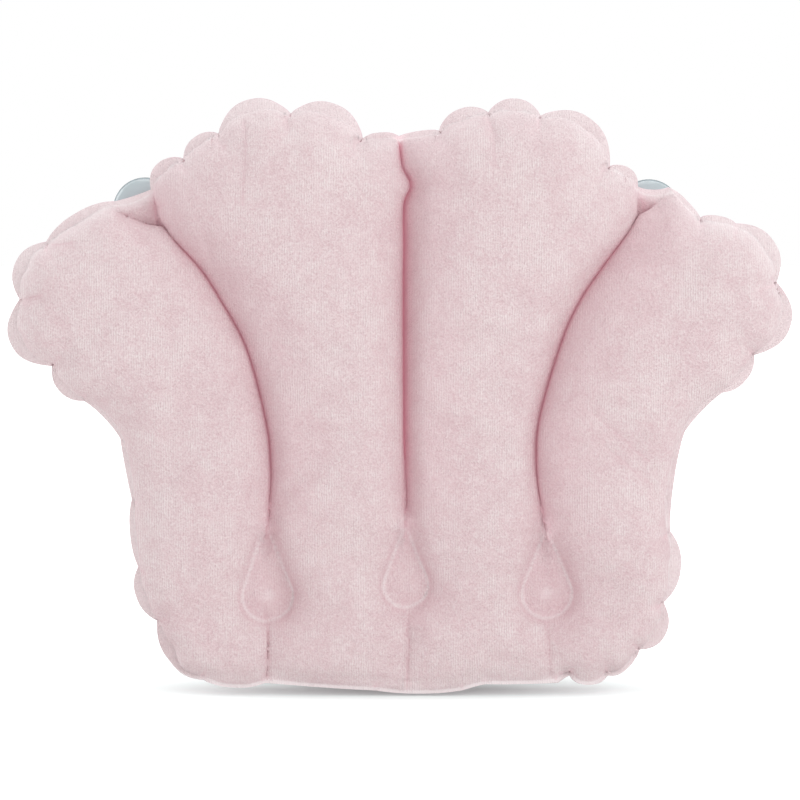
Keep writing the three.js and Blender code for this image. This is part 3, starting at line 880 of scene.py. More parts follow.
@dataclass
class PillowSkins:
    """The two panels of the pillow.

    Attributes:
        plan: the pillow's plan.
        front_face: depth of the terry's outer face on the flat hem.
        rear_face: depth of the back film's outer face there.
        seat: depth of the back film's outer face where the valve sits.
        front_rise: how far a full lobe swells forwards.
        stance: how far forwards the lower edge stands.
        lip: how far forwards its hem stands of that.
        pressure: of the air, for the simulation.
        slack: how much too large the panels are, as a share.
        frames: length of the simulation.
        most_move: how far it may move a point.
        terry_thickness: the terry with the film under it.
        film_thickness: the back film.
        pressed: what is left of the terry's thickness on the flat hem, as a share.
        sole: heights between which the lower edge flattens out.
        sharp: angle from which an edge of a panel shows, in degrees.
    """

    plan: PillowPlan
    front_face: float
    rear_face: float
    seat: float
    front_rise: float = 37.0
    stance: float = 14.0
    lip: float = 10.0
    pressure: float = 4.0
    slack: float = 0.04
    frames: int = 20
    most_move: float = 4.0
    terry_thickness: float = 2.7
    film_thickness: float = 0.4
    pressed: float = 0.35
    sole: tuple[float, float] = (18.0, 7.0)
    sharp: float = 75.0

    def __post_init__(self) -> None:
        """Lays out the plan that both panels share."""
        points, self.triangles = self.plan.lay()
        self.survey = self.plan.survey(points)
        valve = self.plan.survey(self.plan.hole[0][None])
        self.rear_rise = (self.seat - self.rear_face) / float(valve.swell[0])
        self.straight = points - wobble(points)

    def _lean(self) -> np.ndarray:
        """Moves across the plan where one lobe leans over the next.

        The lobe that leans bulges out over the seam, and the other one gives way where the two would
        meet. Both move back a little, so that the edge that shows stays over the seam.

        Returns:
            The moves in x and z.
        """
        moves = np.zeros_like(self.survey.points)
        for seam, reading in zip(SEAMS, self.survey.seams):
            part = smooth_step(-0.05, 0.07, reading.along) * smooth_step(0.9, 0.72, reading.along)
            part *= 1 + 0.7 * smooth_step(0.2, 0.0, reading.along)
            size = abs(seam.lean) * part
            reach = size * self.survey.swell * bell(reading.gap, 6.5)
            give = np.maximum(0, reach - 2 * reading.gap)
            back = 0.2 * (abs(seam.lean) - 5) * part * bell(reading.gap, 26)
            amount = np.where(reading.hand * seam.lean < 0, reach, give) - back
            moves += reading.to_right * (math.copysign(1, seam.lean) * amount)[:, None]
        for fold in FOLDS:
            gap, share, on_left = self._beside(fold)
            along = np.array(fold.end) - np.array(fold.start)
            to_right = np.array((along[1], -along[0])) / np.linalg.norm(along)
            ease = smooth_step(1.0, 0.6, share) * smooth_step(0.0, 0.08, share)
            amount = fold.lap * on_left * ease * bell(gap, 2.4)
            moves += amount[:, None] * to_right
        return moves

    def _beside(self, fold: Fold) -> tuple[np.ndarray, np.ndarray, np.ndarray]:
        """Reads where the points lie beside a fold.

        Args:
            fold: the fold.

        Returns:
            For each point its distance, how far along the fold that is and if it is on its left.
        """
        start, end = np.array(fold.start), np.array(fold.end)
        gap, _, share = nearest(self.straight, start[None], end[None])
        offset = self.straight - start
        along = end - start
        return gap, share, along[0] * offset[:, 1] - along[1] * offset[:, 0] > 0

    def _bulge(self) -> np.ndarray:
        """Moves over the plan where the lobes swell out over the weld of the hem, most at the top.

        Returns:
            The moves in x and z.
        """
        plan, survey = self.plan, self.survey
        size = 0.4 + 2.2 * smooth_step(150, 235, survey.points[:, 1])
        size *= smooth_step(8, 28, survey.points[:, 1])
        size *= 1 - 0.85 * smooth_step(135, 160, abs(survey.points[:, 0]))
        near = bell(survey.hem - 3.0, 3.6) * np.clip(survey.hem / 1.6, 0, 1)
        size *= smooth_step(0.12, 0.4, survey.swell)
        return -plan.inward[survey.edge] * (size * near)[:, None]

    def _rim_wave(self, side: Side) -> np.ndarray:
        """Waves the flat hem about the weld, leans it back at the top and brings its foot forwards.

        The front panel comes forwards with the foot, and the rear one runs under to it.

        Args:
            side: which panel.

        Returns:
            How far each point moves back.
        """
        plan, survey = self.plan, self.survey
        outside = np.where(survey.hem > 0, 0, survey.foot / plan.hem_widths[survey.edge])
        # Each scallop waves by its own share, which only has to look uneven
        scallop = plan.edge_scallops[survey.edge]
        wave = np.modf(abs(np.sin(scallop * 12.99) * 437.6))[0] * 2 - 1.2
        wave *= 1.5 * np.sin(np.pi * plan.edge_shares[survey.edge])
        up = survey.points[:, 1]
        back = 2.6 * smooth_step(215, 275, up)
        rim = (wave * smooth_step(6, 16, up) + back) * np.clip(outside, 0, 1)
        within = np.maximum(survey.hem, 0)
        foot = self.lip * smooth_step(*self.sole, up) * bell(within, 5)
        stance = self.stance * smooth_step(48, 2, up)
        if side is Side.REAR:
            stance *= bell(within, 10)
        return rim - foot - stance

    def _crease(self, fold: Fold) -> np.ndarray:
        """Depth of a fold at each point."""
        gap, share, on_left = self._beside(fold)
        return fold.depth * (1 - share) * np.exp(-gap / np.where(on_left, fold.left, fold.right))

    def _loft(self) -> np.ndarray:
        """What is left of the terry's thickness at each point, as a share."""
        return self.pressed + (1 - self.pressed) * smooth_step(0, 4, self.survey.hem)

    def _gathers(self) -> np.ndarray:
        """Raises small ripples that stand across the welds, where the panel is gathered.

        Returns:
            Their heights, from about -1 to 1.
        """
        survey = self.survey
        hem_ripple, seam_ripple = math.tau / 13, math.tau / 12
        drift = 5 * bumps(survey.points, 21, 3.0)
        along = survey.edge * self.plan.hem_pitch
        ripples = np.sin(along * hem_ripple + drift) * np.exp(-survey.hem / 7)
        for line, reading in zip(self.plan.seams, survey.seams):
            run = reading.along * len(line) * self.plan.seam_pitch
            fade = smooth_step(1.0, 0.85, reading.along) * np.exp(-reading.gap / 8)
            ripples += np.sin(run * seam_ripple + drift) * fade
        return ripples * np.clip(survey.swell * 3, 0, 1)

    def _relief(self, side: Side) -> np.ndarray:
        """Raises the small forms on a panel: uneven filling, folds, weld beads and puffed teardrops.

        Args:
            side: which panel.

        Returns:
            Their heights.
        """
        survey = self.survey
        front = side is Side.FRONT
        layer = 5.0 * side.value
        uneven = 1.5 * bumps(survey.points, 46, layer) + 0.45 * bumps(survey.points, 17, layer)
        relief = uneven * np.clip(survey.swell, 0, 1)
        relief += (0.25 if front else 1.0) * self._gathers()
        if not front:
            from_valve = np.linalg.norm(survey.points - self.plan.hole[0], axis=1)
            relief *= smooth_step(6, 26, from_valve)
        rows = zip(SEAMS, survey.seams, survey.teardrops, survey.hearts, self.plan.tips)
        for seam, reading, teardrop, from_heart, tip in rows:
            relief += 0.45 * bell(teardrop, 0.7) * smooth_step(0.75, 0.85, reading.along)
            relief += np.clip(1 - (from_heart / seam.teardrop) ** 2, 0, 1)
            if front:
                under = reading.hand * seam.lean > 0
                part = smooth_step(0.0, 0.1, reading.along) * smooth_step(0.98, 0.85, reading.along)
                relief -= 9.0 * under * part * survey.swell * bell(reading.gap, 8)
                from_tip = np.linalg.norm(survey.points - tip, axis=1)
                relief += 8.0 * np.exp(-((from_tip / 11) ** 2) - (reading.gap / 3) ** 2)
        within = np.clip(survey.hem / 2, 0, 1)
        swollen = within * np.clip(survey.swell * 3, 0, 1)
        for pucker in self.plan.puckers:
            relief -= swollen * self._crease(pucker)
        if front:
            for fold in FOLDS:
                relief -= within * self._crease(fold)
        return relief

    def _welded(self) -> np.ndarray:
        """Says which points the welds hold, on the hem, the webs, the seams and the teardrops."""
        survey = self.survey
        held = (survey.hem <= 0.3) | (survey.web <= 0.3)
        for reading, teardrop in zip(survey.seams, survey.teardrops):
            held |= (reading.gap <= self.plan.seam_width / 2 + 0.05) | (teardrop <= 0.3)
        return held

    def _blow_up(self, side: Side, places: np.ndarray) -> np.ndarray:
        """Runs the cloth simulation of a panel that is a little too large, under the air's pressure.

        Args:
            side: which panel.
            places: its points before, in metres.

        Returns:
            How far each point moves, in metres.
        """
        mesh = bpy.data.meshes.new("settling")
        turned = 1 if side is Side.FRONT else -1
        mesh.from_pydata(places.tolist(), [], [face[::turned] for face in self.triangles])
        panel = bpy.data.objects.new("settling", mesh)
        bpy.context.collection.objects.link(panel)
        welds = panel.vertex_groups.new(name="welds")
        welds.add(np.flatnonzero(self._welded()).tolist(), 1.0, "REPLACE")
        cloth = panel.modifiers.new("cloth", "CLOTH")
        cloth.settings.vertex_group_mass = welds.name
        cloth.settings.quality = 4
        cloth.settings.use_pressure = True
        cloth.settings.uniform_pressure_force = self.pressure
        cloth.settings.shrink_min = -self.slack
        cloth.settings.effector_weights.gravity = 0
        cloth.collision_settings.use_collision = False
        cloth.point_cache.frame_end = self.frames
        scene = bpy.context.scene
        for frame in range(1, self.frames + 1):
            scene.frame_set(frame)
        settled = panel.evaluated_get(bpy.context.evaluated_depsgraph_get()).to_mesh()
        moved = np.empty(len(places) * 3)
        settled.vertices.foreach_get("co", moved)
        bpy.data.objects.remove(panel)
        bpy.data.meshes.remove(mesh)
        scene.frame_set(1)
        return moved.reshape(-1, 3) - places

    def _settle(self, side: Side, places: np.ndarray) -> np.ndarray:
        """Args:
            side: which panel.
            places: its points before, in metres.

        Returns:
            How far each point moves, in metres.
        """
        moves = self._softened(self._blow_up(side, places)) * self._freedom(side)[:, None]
        lengths = np.linalg.norm(moves, axis=1)
        most = self.most_move * MM
        moves *= (most * np.tanh(lengths / most) / np.maximum(lengths, 1e-9))[:, None]
        furthest = min(most, lengths.max())
        LOG.info("panel settled by %.2f mm, at most %.2f mm", lengths.mean() / MM, furthest / MM)
        return moves

    def _softened(self, moves: np.ndarray) -> np.ndarray:
        """Evens out the moves of points that are joined, as the stiff pile does.

        Args:
            moves: of each point.

        Returns:
            The evened moves.
        """
        rounds = 6
        corners = np.array(self.triangles)
        ends = np.vstack([corners[:, [0, 1]], corners[:, [1, 2]], corners[:, [2, 0]]])
        counts = np.maximum(np.bincount(ends.ravel(), minlength=len(moves)), 1)[:, None]
        for _ in range(rounds):
            sums = np.zeros_like(moves)
            np.add.at(sums, ends[:, 0], moves[ends[:, 1]])
            np.add.at(sums, ends[:, 1], moves[ends[:, 0]])
            moves = (moves + sums / counts) / 2
        return moves

    def _freedom(self, side: Side) -> np.ndarray:
        """How freely each point settles: not on the hem, beside a seam or a teardrop, or under the valve.

        Args:
            side: which panel.

        Returns:
            Shares from 0 to 1.
        """
        survey = self.survey
        free = smooth_step(0, 2.5, survey.hem) * (0.35 + 0.65 * smooth_step(2, 16, survey.hem))
        for reading, teardrop in zip(survey.seams, survey.teardrops):
            free *= smooth_step(2, 18, np.minimum(reading.gap, np.maximum(teardrop, 0)))
        if side is Side.REAR:
            free *= smooth_step(13, 26, np.linalg.norm(survey.points - self.plan.hole[0], axis=1))
        return free

    def face(self, side: Side) -> np.ndarray:
        """Places a panel's outer face in space.

        Args:
            side: which panel.

        Returns:
            Points in metres.
        """
        survey = self.survey
        front = side is Side.FRONT
        heights = survey.swell * (self.front_rise if front else self.rear_rise)
        low = smooth_step(*self.sole, survey.points[:, 1])
        heights *= 1 - low * (1 - np.clip(survey.hem / 8, 0, 1))
        flat = survey.points + self._bulge()
        start = self.front_face if front else self.rear_face
        depth = start + side.value * (heights + self._relief(side)) + self._rim_wave(side)
        if front:
            depth += self.terry_thickness * (1 - self._loft())
        places = np.column_stack([flat[:, 0], depth, flat[:, 1]])
        places += self._settle(side, places * MM) / MM
        if front:
            places[:, [0, 2]] += self._lean()
        places[:, 2] = np.maximum(places[:, 2], self.plan.floor)
        return places * MM

    def _seam_marks(self) -> Iterable[dict[str, np.ndarray]]:
        """Marks each seam and its teardrop.

        Yields:
            For a seam, shares of its crease, painted shade beside the seam and on the teardrop's right
            flank, disc and outline, of the painted glow between its lobes, of the pale bead round its
            teardrop with a painted highlight on its disc, and of its weld.
        """
        survey = self.survey
        for seam, reading, teardrop, heart in zip(SEAMS, survey.seams, survey.teardrops, survey.hearts):
            outer = seam.teardrop > 13
            under = reading.hand * seam.lean > 0
            on_right = reading.hand > 0
            # Painted shade: darker pink beside the seam, narrow on both sides and broad on its right, where
            # the lobes' left flanks face away from the key light
            near = 0.34 * np.exp(-reading.gap / np.where(under, 3.0, 2.2))
            painted_flank_shade = np.where(on_right, 0.5, 0.26) * np.exp(-reading.gap / np.where(on_right, 22, 8))
            painted_shade = (near + painted_flank_shade) * smooth_step(0.99, 0.8, reading.along) * smooth_step(48, 24, reading.gap)
            # Painted shade right of the teardrop, on its sunk disc and in thin lines each side of its bead
            across = (survey.points - seam.route[-1])[:, 0]
            beside = (teardrop > 0) & (heart < 45)
            flank = 0.42 * np.exp(-np.maximum(teardrop, 0) / 9) * smooth_step(-2, 8, across) * beside
            disc = (0.24 if outer else 0.17) * smooth_step(0.5, -1.5, teardrop)
            low = smooth_step(0.8, 0.9, reading.along)
            line = 0.26 * bell(abs(teardrop) - 1.9, 0.9) * low
            # Painted glow, an emission, where the two lobes touch
            part = smooth_step(0.88, 0.68, reading.along) * (0.2 + 0.8 * smooth_step(0, 16, survey.web))
            ring = 0.44 * bell(teardrop, 0.65) * low
            # A painted highlight in the middle of each outer teardrop's disc
            painted_disc_highlight = 0.4 * outer * bell(heart, 3)
            yield {
                "crease": np.maximum.reduce([painted_shade, flank, disc, line]),
                "glow": part * bell(reading.gap, np.where(under, 3.6, 2.6)),
                "bead": np.maximum(ring, painted_disc_highlight),
                "weld": (teardrop < 0.1) | (reading.gap < self.plan.seam_width / 2),
            }

    def _fold_marks(self) -> Iterable[dict[str, np.ndarray]]:
        """Marks the folds and the puckers.

        Yields:
            For a fold, shares of painted shade at its bottom, and for a pucker also of painted shade in it
            and of the painted glow where its sides touch.
        """
        for fold in FOLDS:
            gap, share, on_left = self._beside(fold)
            ease = smooth_step(1.0, 0.9, share) * smooth_step(-0.01, 0.03, share)
            yield {"crease": fold.dark * ease * np.exp(-gap / np.where(on_left, 0.7, 1.7))}
        for pucker in self.plan.puckers:
            gap, share, _ = self._beside(pucker)
            yield {
                "crease": 0.36 * (1 - share) * np.exp(-gap / 1.3),
                "glow": 0.35 * (1 - share) * bell(gap, 1.2) * (self.survey.hem > 0),
            }

    def _marks(self) -> dict[str, np.ndarray]:
        """Where the panels change.

        Returns:
            Shares of crease, painted shade in the seams, folds and webs, of glow, a painted glow where two
            lobes touch, of bead, pale pressed pile along a weld and on the flat hem with painted light on
            the edges and the foot and a painted highlight, and of weld, on it.
        """
        survey = self.survey
        up = survey.points[:, 1]
        # Painted light: the pile is paler near the hem towards the top, where light from above falls, and
        # near the foot, to lift the shade by the floor
        painted_top_light = 0.4 * np.exp(-survey.hem / 3) + 0.24 * np.exp(-survey.hem / 14)
        painted_foot_light = 0.24 * smooth_step(45, 8, up) * np.exp(-survey.hem / 10)
        painted_edge_light = smooth_step(150, 270, up) * painted_top_light + painted_foot_light
        # The flat hem is pale pressed pile, made paler towards the bottom as painted light against the shade
        # under the lobes
        bead = np.where(survey.hem > 0, painted_edge_light, 0.5 + 0.3 * smooth_step(*self.plan.low_band, up))
        weld_line = 0.8 * np.exp(-((survey.foot / 0.7) ** 2) - (survey.swell * 12) ** 2)
        marks = {
            # Painted shade on the webs between the lobes' tops
            "crease": 0.16 * smooth_step(5, 0, survey.web),
            "glow": np.zeros(len(up)),
            "bead": np.maximum(bead, weld_line),
            "weld": np.where(survey.hem > 0, 0.0, 1.0),
        }
        for found in (*self._seam_marks(), *self._fold_marks()):
            for title, shares in found.items():
                marks[title] = np.maximum(marks[title], shares)
        return marks

    def build(self, name: str, side: Side, thickness: float) -> bpy.types.Object:
        """Makes one panel as a closed sheet.

        Args:
            name: the piece's name.
            side: which panel.
            thickness: of the sheet.

        Returns:
            The panel's object.
        """
        faces = self.triangles
        if side is Side.REAR:
            middle, radius = self.plan.hole
            middles = self.survey.points[np.array(faces)].mean(axis=1)
            kept = np.linalg.norm(middles - middle, axis=1) > radius * 0.99
            faces = [face[::-1] for face, keep in zip(faces, kept) if keep]
        mesh = bpy.data.meshes.new(name)
        mesh.from_pydata(self.face(side).tolist(), [], faces)
        for title, shares in self._marks().items():
            attribute = mesh.attributes.new(title, "FLOAT", "POINT")
            attribute.data.foreach_set("value", shares.astype(np.float32))
        mesh.shade_smooth()
        panel = bpy.data.objects.new(name, mesh)
        bpy.context.collection.objects.link(panel)
        wall = panel.modifiers.new("wall", "SOLIDIFY")
        wall.thickness = thickness * MM
        wall.offset = -1
        if side is Side.FRONT:
            loft = panel.vertex_groups.new(name="loft")
            for index, share in enumerate(self._loft()):
                loft.add([index], float(share), "REPLACE")
            wall.vertex_group = loft.name
        sheet = panel.evaluated_get(bpy.context.evaluated_depsgraph_get())
        panel.data = bpy.data.meshes.new_from_object(sheet)
        panel.data.name = name
        panel.data.set_sharp_from_angle(angle=math.radians(self.sharp))
        panel.modifiers.clear()
        panel.vertex_groups.clear()
        bpy.data.meshes.remove(mesh)
        LOG.info("%s: %d points, %d faces", name, len(panel.data.vertices), len(panel.data.polygons))
        return panel


def spin_profile(
    bm: bmesh.types.BMesh, middle: Sequence[float], profile: Sequence[tuple[float, float]]
) -> None:
    """Turns a profile about an axis along y.

    Args:
        bm: mesh that gets the form.
        middle: x and z of the axis.
        profile: radius and depth along y of its points, in order.
    """
    x, z = middle
    knots = [bm.verts.new(((x + radius) * MM, depth * MM, z * MM)) for radius, depth in profile]
    edges = [bm.edges.new(pair) for pair in zip(knots, knots[1:])]
    bmesh.ops.spin(
        bm,
        geom=knots + edges,
        cent=Vector((x, 0, z)) * MM,
        axis=(0, 1, 0),
        angle=math.tau,
        steps=80,
        use_merge=True,
    )
    bmesh.ops.remove_doubles(bm, verts=bm.verts, dist=1e-6)
    bmesh.ops.recalc_face_normals(bm, faces=bm.faces)


def from_axis(place: Vector, middle: Sequence[float]) -> float:
    """Distance of a place in a mesh from an axis along y, in millimetres."""
    axis = Vector((middle[0], 0, middle[1])) * MM
    return ((place - axis) * Vector((1, 0, 1))).length / MM


def round_edges(
    bm: bmesh.types.BMesh, edges: Iterable[bmesh.types.BMEdge], radius: float, segments: int = 2
) -> None:
    """Rounds some edges.

    Args:
        bm: mesh that they are in.
        edges: the edges.
        radius: of the rounding.
        segments: faces across it.
    """
    bmesh.ops.bevel(
        bm,
        geom=list(edges),
        offset=radius * MM,
        affect="EDGES",
        segments=segments,
        profile=0.5,
        material=-1,
    )


def extrude_strip(
    bm: bmesh.types.BMesh, edges: Sequence[bmesh.types.BMEdge], path: Sequence[tuple[float, float]]
) -> None:
    """Pulls edges along a path as a strip.

    Args:
        bm: mesh that gets the strip.
        edges: edges in a row along x.
        path: depths along y and heights that they are pulled to.
    """
    front = list(edges)
    for depth, height in path:
        found = bmesh.ops.extrude_edge_only(bm, edges=front)["geom"]
        ends = {item for item in found if isinstance(item, bmesh.types.BMVert)}
        for end in ends:
            end.co.y, end.co.z = depth * MM, height * MM
        pulled = [item for item in found if isinstance(item, bmesh.types.BMEdge)]
        front = [edge for edge in pulled if set(edge.verts) <= ends]


def thicken(bm: bmesh.types.BMesh, thickness: float, rounding: float) -> None:
    """Gives a sheet an even thickness about its middle and rounds its edges.

    Args:
        bm: mesh that holds just the sheet.
        thickness: of the sheet.
        rounding: of its edges.
    """
    bmesh.ops.recalc_face_normals(bm, faces=bm.faces)
    bm.normal_update()
    for vert, shift in [(vert, vert.normal * thickness * MM / 2) for vert in bm.verts]:
        vert.co += shift
    bmesh.ops.solidify(bm, geom=bm.faces[:], thickness=thickness * MM)
    bm.normal_update()
    round_edges(bm, [edge for edge in bm.edges if edge.calc_face_angle(0) > math.radians(50)], rounding)
    bmesh.ops.recalc_face_normals(bm, faces=bm.faces)


def dress(
    bm: bmesh.types.BMesh, name: str, node: str, body: str, material: bpy.types.Material
) -> bpy.types.Object:
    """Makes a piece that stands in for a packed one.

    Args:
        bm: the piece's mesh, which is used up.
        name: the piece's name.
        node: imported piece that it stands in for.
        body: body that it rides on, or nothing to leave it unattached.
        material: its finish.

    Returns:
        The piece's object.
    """
    mesh = bpy.data.meshes.new(name)
    bm.to_mesh(mesh)
    bm.free()
    mesh.shade_smooth()
    mesh.set_sharp_from_angle(angle=math.radians(42))
    mesh.materials.append(material)
    piece = bpy.data.objects.new(name, mesh)
    bpy.context.collection.objects.link(piece)
    if body:
        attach(piece, body)
    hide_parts(node)
    LOG.info("%s: %d faces", name, len(mesh.polygons))
    return piece


@dataclass
class CupSet:
    """A suction cup, buttoned into the tab that carries it.

    Attributes:
        side: left or right, as in the pieces' names.
        middle: x and z of the cup's axis.
        lip: depth of the cup's lip.
        plate: depth of the middle of the tab's plate.
        root: depth of the tab's root.
        shelf: height of the tab's shelf over the cup's axis.
        half_width: of the tab.
        hole: radius of the tab's hole.
        bend: radius of the tab's bend.
        film: thickness of the tab.
        bead: radius of the bead at its root.
    """

    side: str
    middle: tuple[float, float]
    lip: float
    plate: float
    root: float
    shelf: float = 6.5
    half_width: float = 7.0
    hole: float = 3.3
    bend: float = 2.5
    film: float = 1.2
    bead: float = 1.0

    def build(self, cup_finish: bpy.types.Material, tab_finish: bpy.types.Material) -> None:
        """Makes both pieces.

        Args:
            cup_finish: material of the cup.
            tab_finish: material of the tab.
        """
        self._cup(cup_finish)
        self._tab(tab_finish)

    def _cup(self, finish: bpy.types.Material) -> None:
        """Turns the cup: a button head, a neck, a dome with a rolled lip, and its hollow.

        Args:
            finish: material of the cup.
        """
        turns = np.radians(np.linspace(0, 90, 17))
        profile = [(0.0, 13.4), (2.2, 13.4), (3.9, 13.0), (4.75, 12.2), (5.0, 11.4), (4.85, 10.7)]
        profile += [(4.3, 10.25), (3.4, 10.2), (3.05, 10.0), (3.0, 9.3), (3.05, 8.7), (3.4, 8.45)]
        profile += [(5 + 12.2 * math.sin(turn), 1.1 + 7.3 * math.cos(turn)) for turn in turns]
        profile += [(17.45, 0.95), (17.6, 0.55), (17.5, 0.15), (17.15, 0.0), (15.2, 0.0), (14.8, 0.3)]
        profile += [(14.6 * math.cos(turn), 0.5 + 6.0 * math.sin(turn)) for turn in turns]
        bm = bmesh.new()
        spin_profile(bm, self.middle, [(max(0.0, radius), self.lip - rise) for radius, rise in profile])
        cup = dress(
            bm, f"cup_{self.side}", f"suction_cup_{self.side}", f"cup_{self.side}", finish
        )
        # The rim share marks the lip, where the cup's finish paints a darker line of shade
        rim = cup.data.attributes.new("rim", "FLOAT", "POINT")
        for vert, share in zip(cup.data.vertices, rim.data):
            share.value = float(smooth_step(16.7, 17.2, np.array(from_axis(vert.co, self.middle))))

    def _tab(self, finish: bpy.types.Material) -> None:
        """Cuts the tab's plate round its hole, bends it over to its shelf and rolls its root.

        Args:
            finish: material of the tab.
        """
        x, z = self.middle
        half, top = self.half_width, self.shelf - self.bend
        round_end = np.linspace(math.pi, math.tau, 17)
        outline = [(half * math.cos(turn), half * math.sin(turn)) for turn in round_end]
        outline.append((half, top / 2))
        fold = len(outline)
        outline += [(across, top) for across in np.linspace(half, -half, 9)]
        outline.append((-half, top / 2))
        hole = [np.array(place) * self.hole / math.hypot(*place) for place in outline]
        bm = bmesh.new()
        rims = []
        for loop in (outline, hole):
            places = [((x + across) * MM, self.plate * MM, (z + up) * MM) for across, up in loop]
            knots = [bm.verts.new(place) for place in places]
            rims.append([bm.edges.new(pair) for pair in zip(knots, knots[1:] + knots[:1])])
        bmesh.ops.bridge_loops(bm, edges=rims[0] + rims[1])
        heart = self.plate - self.bend
        turns = np.radians(np.linspace(15, 90, 6))
        path = [(heart + self.bend * math.cos(turn), z + top + self.bend * math.sin(turn)) for turn in turns]
        path += [(depth, z + self.shelf) for depth in np.linspace(heart, self.root, 7)[1:]]
        extrude_strip(bm, rims[0][fold : fold + 8], path)
        thicken(bm, self.film, 0.3)
        root = bmesh.ops.create_cone(
            bm,
            cap_ends=True,
            segments=24,
            radius1=self.bead * MM,
            radius2=self.bead * MM,
            depth=2 * half * MM,
            matrix=Matrix.Translation(Vector((x, self.root, z + self.shelf)) * MM)
            @ Matrix.Rotation(math.pi / 2, 4, "Y"),
        )
        edges = {edge for vert in root["verts"] for edge in vert.link_edges}
        round_edges(bm, [edge for edge in edges if edge.calc_face_angle(0) > 1], 0.35)
        dress(bm, f"tab_{self.side}", f"cup_tab_{self.side}", f"tab_{self.side}", finish)


@dataclass
class AirValve:
    """The air valve: a flange on the back film, a mouth tube, a stopper and the strap that keeps it.

    Attributes:
        middle: x and z of its axis.
        seat: depth of the film's outer face at its axis.
        ear_rise: height of the strap's ear over the film.
        fold: radius of the strap's fold.
    """

    middle: np.ndarray
    seat: float
    ear_rise: float = 3.4
    fold: float = 0.8

    def build(self, back: bpy.types.Object, finish: bpy.types.Material) -> None:
        """Makes the flange, the tube, the stopper and the strap.

        Args:
            back: the back panel, on which the flange lies.
            finish: material of all of them.
        """
        self._flange(back, finish)
        self._tube(finish)
        self._stopper(finish)
        self._strap(finish)

    def _turned(self, profile: Sequence[tuple[float, float]]) -> bmesh.types.BMesh:
        """Turns a profile about the valve's axis.

        Args:
            profile: radius and height over the film of its points, in order.

        Returns:
            The turned mesh.
        """
        bm = bmesh.new()
        spin_profile(bm, self.middle, [(radius, self.seat + rise) for radius, rise in profile])
        return bm

    def _flange(self, back: bpy.types.Object, finish: bpy.types.Material) -> None:
        """Turns the flange with its boss and lays it on the film, with a ridge where it is welded.

        Args:
            back: the back panel.
            finish: material of the flange.
        """
        boss = [(5.15, 0.0), (5.15, 2.1), (5.4, 2.4), (6.8, 2.4), (7.1, 2.1), (7.15, 1.7), (7.6, 1.35)]
        ridge = [(8.5, 1.25), (8.75, 1.5), (9.25, 1.5), (9.5, 1.2), (10.8, 1.05), (11.3, 0.85)]
        bm = self._turned([*boss, *ridge, (11.5, 0.5), (11.5, 0.0), (5.15, 0.0)])
        mesh = back.data
        skin = BVHTree.FromPolygons(
            [vert.co for vert in mesh.vertices], [tuple(polygon.vertices) for polygon in mesh.polygons]
        )
        for vert in bm.verts:
            share = float(smooth_step(5.2, 7.4, np.array(from_axis(vert.co, self.middle))))
            hit, *_ = skin.ray_cast(Vector((vert.co.x, 0.2, vert.co.z)), Vector((0, -1, 0)))
            if share > 0 and hit is not None:
                vert.co.y += share * (hit.y - self.seat * MM)
        dress(bm, "valve_flange", "valve_base", "pillow", finish)

    def _tube(self, finish: bpy.types.Material) -> None:
        """Turns the mouth tube with its lip and inner bead, and adds the ear for the strap.

        Args:
            finish: material of the tube.
        """
        lip = [(3.0, 3.8), (3.3, 4.1), (6.1, 4.1), (6.4, 3.8), (6.4, 3.0), (6.1, 2.7)]
        wall = [(5.0, 2.7), (4.8, 2.5), (4.8, -9.8), (5.0, -10.0)]
        bead = [(5.7, -10.0), (6.0, -10.3), (6.0, -11.1), (5.7, -11.4)]
        bm = self._turned([*lip, *wall, *bead, (3.2, -11.4), (3.0, -11.2), (3.0, 3.8)])
        x, z = self.middle
        place = Vector((x, self.seat + self.ear_rise, z + 7.15)) * MM
        size = Matrix.Diagonal((4.0 * MM, 1.2 * MM, 4.7 * MM, 1.0))
        ear = bmesh.ops.create_cube(bm, size=1.0, matrix=Matrix.Translation(place) @ size)
        round_edges(bm, {edge for vert in ear["verts"] for edge in vert.link_edges}, 0.35, 3)
        dress(bm, "valve_tube", "valve_stem", "stem", finish)

    def _stopper(self, finish: bpy.types.Material) -> None:
        """Turns the stopper: a tapered nose and a disc with a shallow dish.

        Args:
            finish: material of the stopper.
        """
        nose = [(0.0, 0.4), (1.1, 0.4), (1.5, 0.7), (2.3, 2.6), (2.4, 3.2), (2.4, 4.4)]
        disc = [(5.6, 4.4), (5.95, 4.6), (6.0, 5.0), (6.0, 5.7), (5.75, 6.2), (5.2, STOPPER_RISE)]
        dish = [(4.3, STOPPER_RISE), (3.9, 6.2), (3.2, 6.05), (0.0, 6.0)]
        dress(self._turned(nose + disc + dish), "valve_stopper", "valve_plug", "plug", finish)

    def _strap(self, finish: bpy.types.Material) -> None:
        """Folds the strap back from the tube's ear to the stopper.

        Args:
            finish: material of the strap.
        """
        x, z = self.middle
        bm = bmesh.new()
        knots = [
            bm.verts.new(((x + across) * MM, (self.seat + self.ear_rise) * MM, (z + 8.4) * MM))
            for across in np.linspace(-1.8, 1.8, 5)
        ]
        edges = [bm.edges.new(pair) for pair in zip(knots, knots[1:])]
        turns = np.radians(np.linspace(-90, 90, 9))
        bend = [(4.2 + self.fold * math.sin(turn), 9.3 + self.fold * math.cos(turn)) for turn in turns]
        path = [(self.seat + rise, z + height) for rise, height in bend]
        path += [(self.seat + 5.0, z + height) for height in (8.4, 7.4, 6.4, 5.6)]
        extrude_strip(bm, edges, path)
        thicken(bm, 0.9, 0.25)
        strap = dress(bm, "stopper_strap", "valve_strap", "", finish)
        ends = [Vector((x, self.seat + rise, z + 9.5)) * MM for rise in (3.7, 4.8)]
        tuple(ends[0])
        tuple(ends[1])
        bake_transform(strap)


